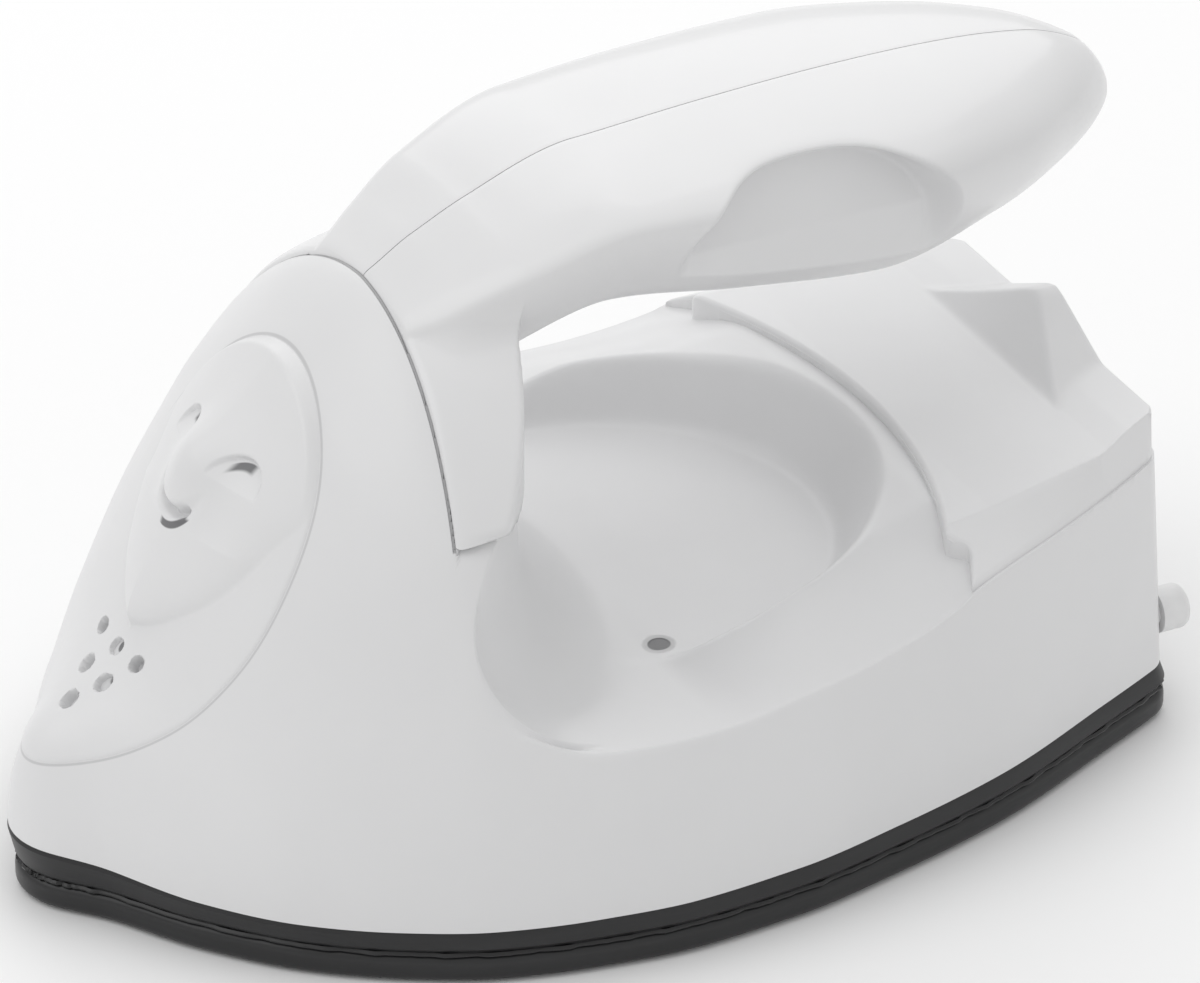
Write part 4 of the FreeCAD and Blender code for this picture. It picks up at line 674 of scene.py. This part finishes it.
def swept(name, profile, settings, wobble=0.0):
    """A closed profile of (outward, height, nose lift) carried round the outline.

    The band below the seam is moved out by BASE_FIT, but for its inner points, more than 2 mm in.
    The wobble is the sum of the sines in WAVES along the outline.
    """
    loop, normal = outline(settings.outline_points)
    out, z, lift = np.asarray(profile, float).T[:, None, :]
    along = loop[:, 1][:, None]
    run = np.arange(len(loop)) / len(loop) * 2 * math.pi
    wave = sum(size * np.sin(run * count + start) for count, size, start in WAVES)
    fit = np.interp(along, *BASE_FIT)
    out = out + wobble * wave[:, None] + fit * (lift < 0.5) * (out > -2)
    points = np.stack([loop[:, 0][:, None] + normal[:, 0][:, None] * out,
                       along + normal[:, 1][:, None] * out,
                       z + lift * nose_lift(along) + 0 * out], -1)
    faces = grid_faces(*points.shape[:2], closed_rows=True, closed_columns=True)[:, [0, 3, 2, 1]]
    return mesh_object(name, points.reshape(-1, 3), faces.tolist(), 32.0)


def rounded_band(inner, low, high, radius):
    """Closed profile of a band: rounded outer corners, square inner ones."""
    turn = np.linspace(0, math.pi / 2, 6)
    lower = [(-radius + radius * math.cos(t), low + radius - radius * math.sin(t), 0.0) for t in turn[::-1]]
    upper = [(-radius + radius * math.cos(t), high - radius + radius * math.sin(t), 0.0) for t in turn]
    return [(inner, low, 0.0)] + lower + upper + [(inner, high, 0.0)]


# Closed profiles in millimetres: outward from the outline, height, and share of the nose's lift.
SKIRT_PROFILE = [(-4.0, 2.5, 0.0), (-0.55, 2.5, 0.0), (-0.2, 2.75, 0.0), (0.02, 3.1, 0.0),
                 (0.05, 4.2, 1.0), (-0.12, 4.58, 1.0), (-4.0, 4.58, 1.0)]
BEAD_PROFILE = [(-2.0, 2.2, 0.0), (-0.35, 2.2, 0.0), (-0.12, 2.35, 0.0), (-0.1, 2.5, 0.0),
                (-0.25, 2.66, 0.0), (-2.0, 2.66, 0.0)]
SOLE_INSET = 2.4


def base_objects(settings):
    """Lip of the sole, black skirt and the uneven bead between them."""
    lip = [(-3.0, 0.05, 0.0)] + rounded_band(-3.0, 0.0, 2.3, 0.75)[1:]
    sole = swept("sole_lip", lip, settings)
    skirt = swept("skirt", SKIRT_PROFILE, settings)
    bead = swept("bead", BEAD_PROFILE, settings, settings.bead_wobble / MM)
    return sole, skirt, bead


def sole_face_object(settings):
    """Flat underside of the casting inside its lip: a shallow plate of the outline, set in."""
    low, high = 0.02, 2.2
    loop, normal = outline(settings.outline_points)
    inner = loop - normal * SOLE_INSET
    rings = np.stack([np.concatenate([inner, np.full((len(inner), 1), z)], 1) for z in (low, high)])
    return ring_mesh("sole_face", rings, (0, 0, low), (0, 0, high), 30.0)


# ---------------------------------------------------------------- shader sockets
def plug(tree, slot, value):
    """Links a shader value to a socket, or sets the socket to a number, a colour or a vector."""
    if isinstance(value, Field):
        tree.links.new(value.socket, slot)
    elif slot.type == "RGBA":
        slot.default_value = (*value, 1.0)
    else:
        slot.default_value = value


def node_value(tree, kind, output, settings, inputs):
    """A new node's output: settings are its properties, set first, and inputs its sockets."""
    node = tree.nodes.new(kind)
    for key, value in settings.items():
        setattr(node, key, value)
    for key, value in inputs.items():
        plug(tree, node.inputs[key], value)
    return Field(tree, node.outputs[output])


class Field:
    """A shader value that takes part in plain arithmetic; each operation adds a Math node."""

    def __init__(self, tree, socket):
        self.tree = tree
        self.socket = socket

    def _math(self, operation, *values):
        return node_value(self.tree, "ShaderNodeMath", 0, {"operation": operation}, dict(enumerate(values)))

    def __add__(self, other):
        return self._math("ADD", self, other)

    __radd__ = __add__

    def __sub__(self, other):
        return self._math("SUBTRACT", self, other)

    def __rsub__(self, other):
        return self._math("SUBTRACT", other, self)

    def __mul__(self, other):
        return self._math("MULTIPLY", self, other)

    __rmul__ = __mul__

    def __truediv__(self, other):
        return self._math("DIVIDE", self, other)

    def __rtruediv__(self, other):
        return self._math("DIVIDE", other, self)

    def __abs__(self):
        return self._math("ABSOLUTE", self)

    def root(self):
        """Square root."""
        return self._math("SQRT", self)

    def most(self, other):
        """The higher of two values."""
        return self._math("MAXIMUM", self, other)

    def ramp(self, low, high):
        """0 at low and 1 at high, smooth between them and level beyond them."""
        return node_value(self.tree, "ShaderNodeMapRange", "Result", {"interpolation_type": "SMOOTHSTEP"},
                          {"Value": self, "From Min": low, "From Max": high})


class Finish:
    """A material being built: places, noises, mixed colours and the surface that takes them."""

    def __init__(self, name):
        self.material = bpy.data.materials.new(name)
        self.material.use_nodes = True
        self.tree = self.material.node_tree
        self.shader = self.tree.nodes["Principled BSDF"]
        self.place = self.node("ShaderNodeTexCoord", "Object", {}, {})

    def node(self, kind, output, settings, inputs):
        """A new node's output in this material."""
        return node_value(self.tree, kind, output, settings, inputs)

    def axes(self):
        """x, y and z in millimetres."""
        parts = self.node("ShaderNodeSeparateXYZ", 0, {}, {0: self.place}).socket.node.outputs
        return [Field(self.tree, part) * (1 / MM) for part in parts]

    def noise(self, scale, detail=3.0):
        """Cloudy value about 0.5."""
        return self.node("ShaderNodeTexNoise", "Fac", {},
                         {"Vector": self.place, "Scale": scale, "Detail": detail, "Roughness": 0.5})

    def mixed(self, share, first, second):
        """Colour between two colours; the mix node's colour sockets are its seventh and eighth."""
        return self.node("ShaderNodeMix", 2, {"data_type": "RGBA"}, {0: share, 6: first, 7: second})

    def give(self, **inputs):
        """Sets the surface's inputs, by name."""
        for key, value in inputs.items():
            plug(self.tree, self.shader.inputs[key.replace("_", " ")], value)

    def bump(self, height, depth):
        """Surface detail from a height in 0 to 1 and a depth in millimetres."""
        self.give(Normal=self.node("ShaderNodeBump", "Normal", {},
                                   {"Height": height, "Distance": depth * MM, "Strength": 1.0}))


def distance(first, second):
    """Square root of the sum of two squares."""
    return (first * first + second * second).root()


# Tints of the painted shade: near black for grooves, holes and seams, mid grey for the handle's parting.
PAINTED_SHADE_TINT = (0.10, 0.10, 0.105)
PARTING_SHADE_TINT = (0.45, 0.45, 0.46)


def plastic_base(finish, look, painted_shade, tint=PAINTED_SHADE_TINT):
    """White moulded plastic: faint random cloud in its tone and gloss, and painted shade that mixes towards
    the given tint where the shade mask is 1.
    """
    cloud = finish.noise(55.0)
    base = tuple(look.white)
    lower = tuple(0.972 * c for c in base)
    colour = finish.mixed(cloud.ramp(0.3, 0.7), lower, base)
    # Painted shade: the colour goes towards the tint where the shade mask rises.
    colour = finish.mixed(painted_shade, colour, tint)
    fine = finish.noise(900.0, 2.0)
    finish.give(Base_Color=colour, Roughness=look.gloss + (fine - 0.5) * 0.05, Specular_IOR_Level=0.5)
    return fine


# How strong the painted shade in each groove, seam and opening is, as a share of its tint.
GROOVE_SHADE = 0.6
RING_SHADE = 0.25
HOLE_SHADE = 0.93
VENT_SHADE = 0.85
EYE_SHADE = 0.9
SMILE_SHADE = 0.93
PARTING_SHADE = 0.03
SEAM_SHADE = 0.15


def body_finish(look):
    """Body plastic with painted shade in the collar's groove, along the plate's outline and in the lamp
    hole.
    """
    finish = Finish("body plastic")
    x, y, z = finish.axes()
    leaning = y + LEAN * (CROWN - z) - COLLAR
    # Painted shade in the groove before the collar; the groove is also sunk by the bump below.
    groove = (1.0 - abs(leaning + 0.02).ramp(0.06, 0.15)) * z.ramp(SEAT_Z - 0.2, SEAT_Z)
    oval = distance(x / PLATE_A, (z - PLATE_Z) / PLATE_B)
    # Painted shade along the nose plate's outline, for the shadow at its edge.
    ring = (1.0 - abs(oval - 1.006).ramp(0.003, 0.010)) * y.ramp(-14.0, -14.5)
    lamp = distance(x - LAMP_X, y - LAMP_Y)
    # Painted shade inside the lamp hole.
    hole = (1.0 - lamp.ramp(0.85, 1.02)) * z.ramp(16.0, 17.0)
    painted_shade = (groove * GROOVE_SHADE).most(ring * RING_SHADE).most(hole * HOLE_SHADE)
    fine = plastic_base(finish, look, painted_shade)
    lip = lamp.ramp(0.7, 1.5)
    finish.bump(fine * 0.02 + lip - groove * 0.3, 0.35)
    return finish.material


def plate_finish(look):
    """Nose plate plastic with painted shade in its hollows: the vents, the eyes' middles and the smile's
    middle.
    """
    finish = Finish("plate plastic")
    x, _, z = finish.axes()
    # Painted shade in the upper part of each eye's arch, where the pit is deepest.
    eye_x = abs(x) - EYE_X
    eye = distance(eye_x, z - EYE_Z)
    arch = eye.ramp(EYE_R - 0.60, EYE_R - 0.35) * (1.0 - eye.ramp(EYE_R, EYE_R + 0.1))
    arch = arch * z.ramp(EYE_Z + 1.2, EYE_Z + 1.8)
    arch = arch * eye_x.ramp(-1.3, -0.7) * (1.0 - eye_x.ramp(0.3, 0.9))
    # Painted shade in the middle of the smile's groove.
    mouth = distance(x, z - SMILE_Z)
    smile = (1.0 - abs(mouth - SMILE_R).ramp(0.22, 0.36)) * (1.0 - z.ramp(SMILE_Z - 1.9, SMILE_Z - 1.6))
    smile = smile * x.ramp(-0.7, -0.1)
    painted_shade = (arch * EYE_SHADE).most(smile * SMILE_SHADE)
    # Painted shade in each vent, set 0.2 mm towards +x so that one side of the pit reads as shaded.
    for vx, vz in VENTS:
        vent = distance(x - vx - 0.2, (z - vz) * VENT_SLANT)
        painted_shade = painted_shade.most((1.0 - vent.ramp(0.42, 0.62)) * VENT_SHADE)
    fine = plastic_base(finish, look, painted_shade)
    finish.bump(fine, 0.01)
    return finish.material


def handle_finish(look):
    """Glossier plastic of the handle, with a faint painted shade line along the parting on its top."""
    finish = Finish("handle plastic")
    x, _, _ = finish.axes()
    # Painted shade along the parting between the handle's two halves.
    line = (1.0 - abs(x).ramp(0.05, 0.14)) * PARTING_SHADE
    fine = plastic_base(finish, look, line, PARTING_SHADE_TINT)
    finish.bump(fine, 0.008)
    finish.give(Coat_Weight=0.35, Coat_Roughness=0.12)
    return finish.material


def cover_finish(look):
    """Plastic of the rear cover, with painted shade low on it, below about 23 mm, in the seam round it."""
    finish = Finish("cover plastic")
    _, _, z = finish.axes()
    # Painted shade on the cover's lower edge, where it meets the body.
    fine = plastic_base(finish, look, (1.0 - z.ramp(22.0, 23.2)) * SEAM_SHADE)
    finish.bump(fine, 0.01)
    return finish.material


def black_finish(look, name, rough, streak):
    """Black, satin and slightly streaked lengthwise."""
    finish = Finish(name)
    stretched = finish.node("ShaderNodeMapping", "Vector", {},
                            {"Vector": finish.place, "Scale": (60.0, 60.0, 900.0)})
    band = finish.node("ShaderNodeTexNoise", "Fac", {}, {"Vector": stretched, "Scale": 1.0, "Detail": 3.0})
    colour = finish.mixed(band.ramp(0.35, 0.7), tuple(0.7 * c for c in look.black), tuple(look.black))
    finish.give(Base_Color=colour, Roughness=rough + (band - 0.5) * streak)
    finish.bump(band, 0.03)
    return finish.material


def plain_finish(name, first, second, rough, metal):
    """An inner part's finish: two shades in a cloud, and a slightly uneven gloss."""
    finish = Finish(name)
    cloud = finish.noise(300.0)
    finish.give(Base_Color=finish.mixed(cloud.ramp(0.3, 0.7), first, second), Metallic=metal,
                Roughness=rough + (cloud - 0.5) * 0.15)
    finish.bump(cloud, 0.01)
    return finish.material


# Finishes of the inner parts: darker shade, lighter shade, roughness, metallic, and the parts.
INNER = {
    "zinc steel": ((0.42, 0.43, 0.44), (0.55, 0.55, 0.56), 0.35, 1.0,
                   ("body_screws", "clamp_screws", "cord_clamp_screws", "fuse_clip_screw",
                    "handle_cross_screws", "handle_screws", "terminal_screws", "heater_clamp",
                    "fuse_clip")),
    "aluminium sheet": ((0.60, 0.61, 0.62), (0.70, 0.70, 0.71), 0.4, 1.0, ("heat_baffle",)),
    "brass": ((0.55, 0.38, 0.13), (0.66, 0.47, 0.18), 0.35, 1.0,
              ("lower_contact_plate", "upper_contact_plate")),
    "ceramic": ((0.09, 0.08, 0.075), (0.13, 0.12, 0.11), 0.7, 0.0, ("heater_element",)),
    "mica": ((0.45, 0.38, 0.26), (0.56, 0.49, 0.35), 0.3, 0.0, ("lower_mica_sheet", "upper_mica_sheet")),
    "felt": ((0.62, 0.60, 0.55), (0.74, 0.72, 0.67), 0.95, 0.0, ("insulation_pad",)),
    "phenolic": ((0.12, 0.07, 0.04), (0.17, 0.10, 0.06), 0.5, 0.0, ("carrier_plate", "cord_clamp")),
    "terminal plastic": ((0.70, 0.69, 0.64), (0.78, 0.77, 0.72), 0.45, 0.0, ("terminal_block",)),
    "fuse case": ((0.50, 0.42, 0.20), (0.60, 0.52, 0.27), 0.4, 0.6, ("thermal_fuse",)),
    "circuit board": ((0.02, 0.13, 0.06), (0.03, 0.18, 0.08), 0.45, 0.0, ("lamp_board",)),
    "lamp lens": ((0.60, 0.03, 0.02), (0.72, 0.05, 0.03), 0.15, 0.0, ("pilot_lamp",)),
    "resistor body": ((0.55, 0.43, 0.28), (0.64, 0.52, 0.36), 0.5, 0.0, ("lamp_resistor",)),
    "black lead": ((0.02, 0.02, 0.02), (0.035, 0.035, 0.035), 0.5, 0.0, ("supply_lead",)),
    "white lead": ((0.66, 0.66, 0.64), (0.76, 0.76, 0.74), 0.5, 0.0, ("heater_return_lead", "lamp_lead")),
    "red lead": ((0.50, 0.04, 0.03), (0.60, 0.06, 0.05), 0.5, 0.0, ("heater_feed_lead",)),
    "pale rubber": ((0.74, 0.74, 0.74), (0.82, 0.82, 0.82), 0.6, 0.0, ("heel_feet", "cord_gland")),
}


# ---------------------------------------------------------------- settings
class FormSettings(bpy.types.PropertyGroup):
    """Small sizes of the form, and how finely the surfaces are drawn."""

    mask_height: FloatProperty(name="Mask height", description="Rise of the mask on the nose plate",
                               default=1.8 * MM, min=0, unit="LENGTH")
    recess_right: FloatProperty(name="Right recess", description="Height of the right finger recess",
                                default=48.0 * MM, unit="LENGTH")
    recess_left: FloatProperty(name="Left recess", description="Height of the left finger recess",
                               default=44.4 * MM, unit="LENGTH")
    cover_round: FloatProperty(name="Cover edge", description="Radius of the rear cover's edge",
                               default=0.45 * MM, min=0.05 * MM, unit="LENGTH")
    bead_wobble: FloatProperty(name="Bead wobble", description="Unevenness of the bead of sealant",
                               default=0.07 * MM, min=0, unit="LENGTH")
    body_rings: IntProperty(name="Body rings", description="Rings along the body", default=330, min=40)
    body_points: IntProperty(name="Body points", description="Points of each ring", default=271, min=40)
    handle_rings: IntProperty(name="Handle rings", description="Rings along the handle", default=260,
                              min=30)
    handle_points: IntProperty(name="Handle points", description="Points of each half ring", default=230,
                               min=30)
    plate_rings: IntProperty(name="Plate rings", description="Rings of the nose plate", default=170,
                             min=20)
    plate_points: IntProperty(name="Plate points", description="Points of each ring", default=520,
                              min=40)
    cover_rows: IntProperty(name="Cover rows", description="Rows across the rear cover", default=130,
                            min=20)
    cover_columns: IntProperty(name="Cover columns", description="Columns of the rear cover",
                               default=220, min=20)
    outline_points: IntProperty(name="Outline points", description="Points along one side of the base",
                                default=220, min=40)


class LookSettings(bpy.types.PropertyGroup):
    """Colours, gloss and light."""

    white: FloatVectorProperty(name="White", description="Colour of the white plastic", size=3,
                               subtype="COLOR", default=(0.745, 0.745, 0.75), min=0, max=1)
    gloss: FloatProperty(name="Gloss", description="Roughness of the white plastic", default=0.36,
                         min=0, max=1)
    black: FloatVectorProperty(name="Black", description="Colour of the black base", size=3,
                               subtype="COLOR", default=(0.016, 0.016, 0.017), min=0, max=1)
    key: FloatProperty(name="Key light", description="Power of the main light", default=2.6, min=0,
                       unit="POWER")
    fill: FloatProperty(name="Fill light", description="Power of the second light", default=2.1, min=0,
                        unit="POWER")
    ambient: FloatProperty(name="Ambient", description="Light from all round", default=0.72, min=0)


# ---------------------------------------------------------------- operators
def settled(obj, node):
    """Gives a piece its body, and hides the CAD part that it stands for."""
    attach(obj, "root")
    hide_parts(node)


def painted(obj, material):
    """Gives an object one material."""
    obj.data.materials.clear()
    obj.data.materials.append(material)


class HEATPRESS_OT_body(bpy.types.Operator):
    """Build the white shell with its scooped deck and dish"""
    bl_idname = "heatpress.body"
    bl_label = "Build body shell"

    def execute(self, context):
        obj = body_object(context.scene.heatpress_form)
        painted(obj, body_finish(context.scene.heatpress_look))
        settled(obj, "body_shell")
        return {"FINISHED"}


class HEATPRESS_OT_cover(bpy.types.Operator):
    """Build the rear cover with its chamfers and pyramid"""
    bl_idname = "heatpress.cover"
    bl_label = "Build rear cover"

    def execute(self, context):
        obj = cover_object(context.scene.heatpress_form)
        painted(obj, cover_finish(context.scene.heatpress_look))
        settled(obj, "rear_deck_cover")
        return {"FINISHED"}


class HEATPRESS_OT_handle(bpy.types.Operator):
    """Build the two halves of the handle"""
    bl_idname = "heatpress.handle"
    bl_label = "Build handle"

    def execute(self, context):
        material = handle_finish(context.scene.heatpress_look)
        left, right = handle_objects(context.scene.heatpress_form)
        for obj, node in ((left, "handle_half_left"), (right, "handle_half_right")):
            painted(obj, material)
            settled(obj, node)
        return {"FINISHED"}


class HEATPRESS_OT_plate(bpy.types.Operator):
    """Build the nose plate with its face and vents"""
    bl_idname = "heatpress.plate"
    bl_label = "Build nose plate"

    def execute(self, context):
        obj = nose_object(context.scene.heatpress_form)
        painted(obj, plate_finish(context.scene.heatpress_look))
        settled(obj, "nose_plate")
        return {"FINISHED"}


class HEATPRESS_OT_base(bpy.types.Operator):
    """Build the sole's lip, the black skirt and the bead between them"""
    bl_idname = "heatpress.base"
    bl_label = "Build base"

    def execute(self, context):
        form = context.scene.heatpress_form
        look = context.scene.heatpress_look
        sole, skirt, bead = base_objects(form)
        face = sole_face_object(form)
        painted(sole, black_finish(look, "sole coating", 0.34, 0.16))
        painted(face, sole.data.materials[0])
        painted(skirt, black_finish(look, "skirt plastic", 0.42, 0.12))
        painted(bead, black_finish(look, "sealant", 0.3, 0.2))
        settled(sole, "soleplate")
        settled(face, "soleplate")
        settled(skirt, "sole_skirt")
        settled(bead, "sealing_bead")
        return {"FINISHED"}


class HEATPRESS_OT_inner(bpy.types.Operator):
    """Give every inner part its finish"""
    bl_idname = "heatpress.inner"
    bl_label = "Finish inner parts"

    def execute(self, context):
        for name, (first, second, rough, metal, nodes) in INNER.items():
            material = plain_finish(name, first, second, rough, metal)
            for node in nodes:
                painted(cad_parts[node], material)
        return {"FINISHED"}


# Stage, in metres: the floor, what the camera and the lights look at, and the lights' sizes.
FLOOR_HALF = 6.0
FLOOR_Z = -0.0002
AIM = Vector((0.003136, 0.002833, 0.025425))
CAMERA_PLACE = Vector((0.77270, -0.39437, 0.52542))
LENS_MM = 371.5
SENSOR_MM = 36.0
LIGHTS = (("key", (-0.15, -0.75, 0.95), 0.9),
          ("fill", (-0.75, 0.35, 0.6), 0.8),
          ("top", (-0.2, 0.25, 1.2), 1.0))
TOP_SHARE = 0.7


def aimed(obj, place):
    """Puts an object at a place, with its -Z axis towards AIM."""
    obj.location = place
    obj.rotation_euler = (AIM - Vector(place)).to_track_quat("-Z", "Y").to_euler()


def floor_object():
    """Pale matt floor."""
    mesh = bpy.data.meshes.new("floor")
    corners = [(x * FLOOR_HALF, y * FLOOR_HALF, FLOOR_Z) for x, y in ((-1, -1), (1, -1), (1, 1), (-1, 1))]
    mesh.from_pydata(corners, [], [(0, 1, 2, 3)])
    finish = Finish("floor")
    cloud = finish.noise(3.0)
    finish.give(Base_Color=finish.mixed(cloud, (0.93, 0.93, 0.93), (0.95, 0.95, 0.95)), Roughness=0.95,
                Specular_IOR_Level=0.0)
    floor = linked("floor", mesh)
    painted(floor, finish.material)
    return floor


def studio(ambient):
    """White surroundings: full strength to the camera, and ambient as light."""
    world = bpy.data.worlds.new("studio")
    world.use_nodes = True
    tree = world.node_tree
    ground = tree.nodes["Background"]
    seen = node_value(tree, "ShaderNodeLightPath", "Is Camera Ray", {}, {})
    plug(tree, ground.inputs["Strength"], seen.ramp(0.0, 1.0) * (1.0 - ambient) + ambient)
    plug(tree, ground.inputs["Color"], (1, 1, 1))
    return world


class HEATPRESS_OT_stage(bpy.types.Operator):
    """Set up the pale floor, the soft lights, the camera and the white surroundings"""
    bl_idname = "heatpress.stage"
    bl_label = "Set up stage"

    def execute(self, context):
        look = context.scene.heatpress_look
        floor_object()
        powers = {"key": look.key, "fill": look.fill, "top": look.key * TOP_SHARE}
        for name, place, size in LIGHTS:
            light = bpy.data.lights.new(name, "AREA")
            light.size = size
            light.energy = powers[name]
            aimed(linked(name, light), place)
        context.scene.world = studio(look.ambient)
        lens = bpy.data.cameras.new("camera")
        lens.lens = LENS_MM
        lens.sensor_width = SENSOR_MM
        lens.clip_end = 20.0
        camera = linked("camera", lens)
        aimed(camera, CAMERA_PLACE)
        context.scene.camera = camera
        context.scene.view_settings.view_transform = "Standard"
        return {"FINISHED"}


class HEATPRESS_PT_panel(bpy.types.Panel):
    """Sidebar panel of the heat press"""
    bl_idname = "HEATPRESS_PT_panel"
    bl_label = "Mini Heat Press"
    bl_space_type = "VIEW_3D"
    bl_region_type = "UI"
    bl_category = "Heat Press"

    def draw(self, context):
        column = self.layout.column(align=True)
        for step in STEPS:
            column.operator(f"heatpress.{step}")
        for settings in (context.scene.heatpress_form, context.scene.heatpress_look):
            for name in settings.__annotations__:
                self.layout.prop(settings, name)


STEPS = ("body", "cover", "handle", "plate", "base", "inner", "stage")
CLASSES = (FormSettings, LookSettings, HEATPRESS_OT_body, HEATPRESS_OT_cover, HEATPRESS_OT_handle,
           HEATPRESS_OT_plate, HEATPRESS_OT_base, HEATPRESS_OT_inner, HEATPRESS_OT_stage, HEATPRESS_PT_panel)


def register():
    """Adds the classes and the scene's settings."""
    for cls in CLASSES:
        bpy.utils.register_class(cls)
    bpy.types.Scene.heatpress_form = PointerProperty(type=FormSettings)
    bpy.types.Scene.heatpress_look = PointerProperty(type=LookSettings)


def unregister():
    """Takes them away again."""
    del bpy.types.Scene.heatpress_look
    del bpy.types.Scene.heatpress_form
    for cls in reversed(CLASSES):
        bpy.utils.unregister_class(cls)


def main():
    """Registers the classes and runs every step in order."""
    register()
    for step in STEPS:
        getattr(bpy.ops.heatpress, step)()
    bpy.context.view_layer.update()


if __name__ == "__main__":
    main()
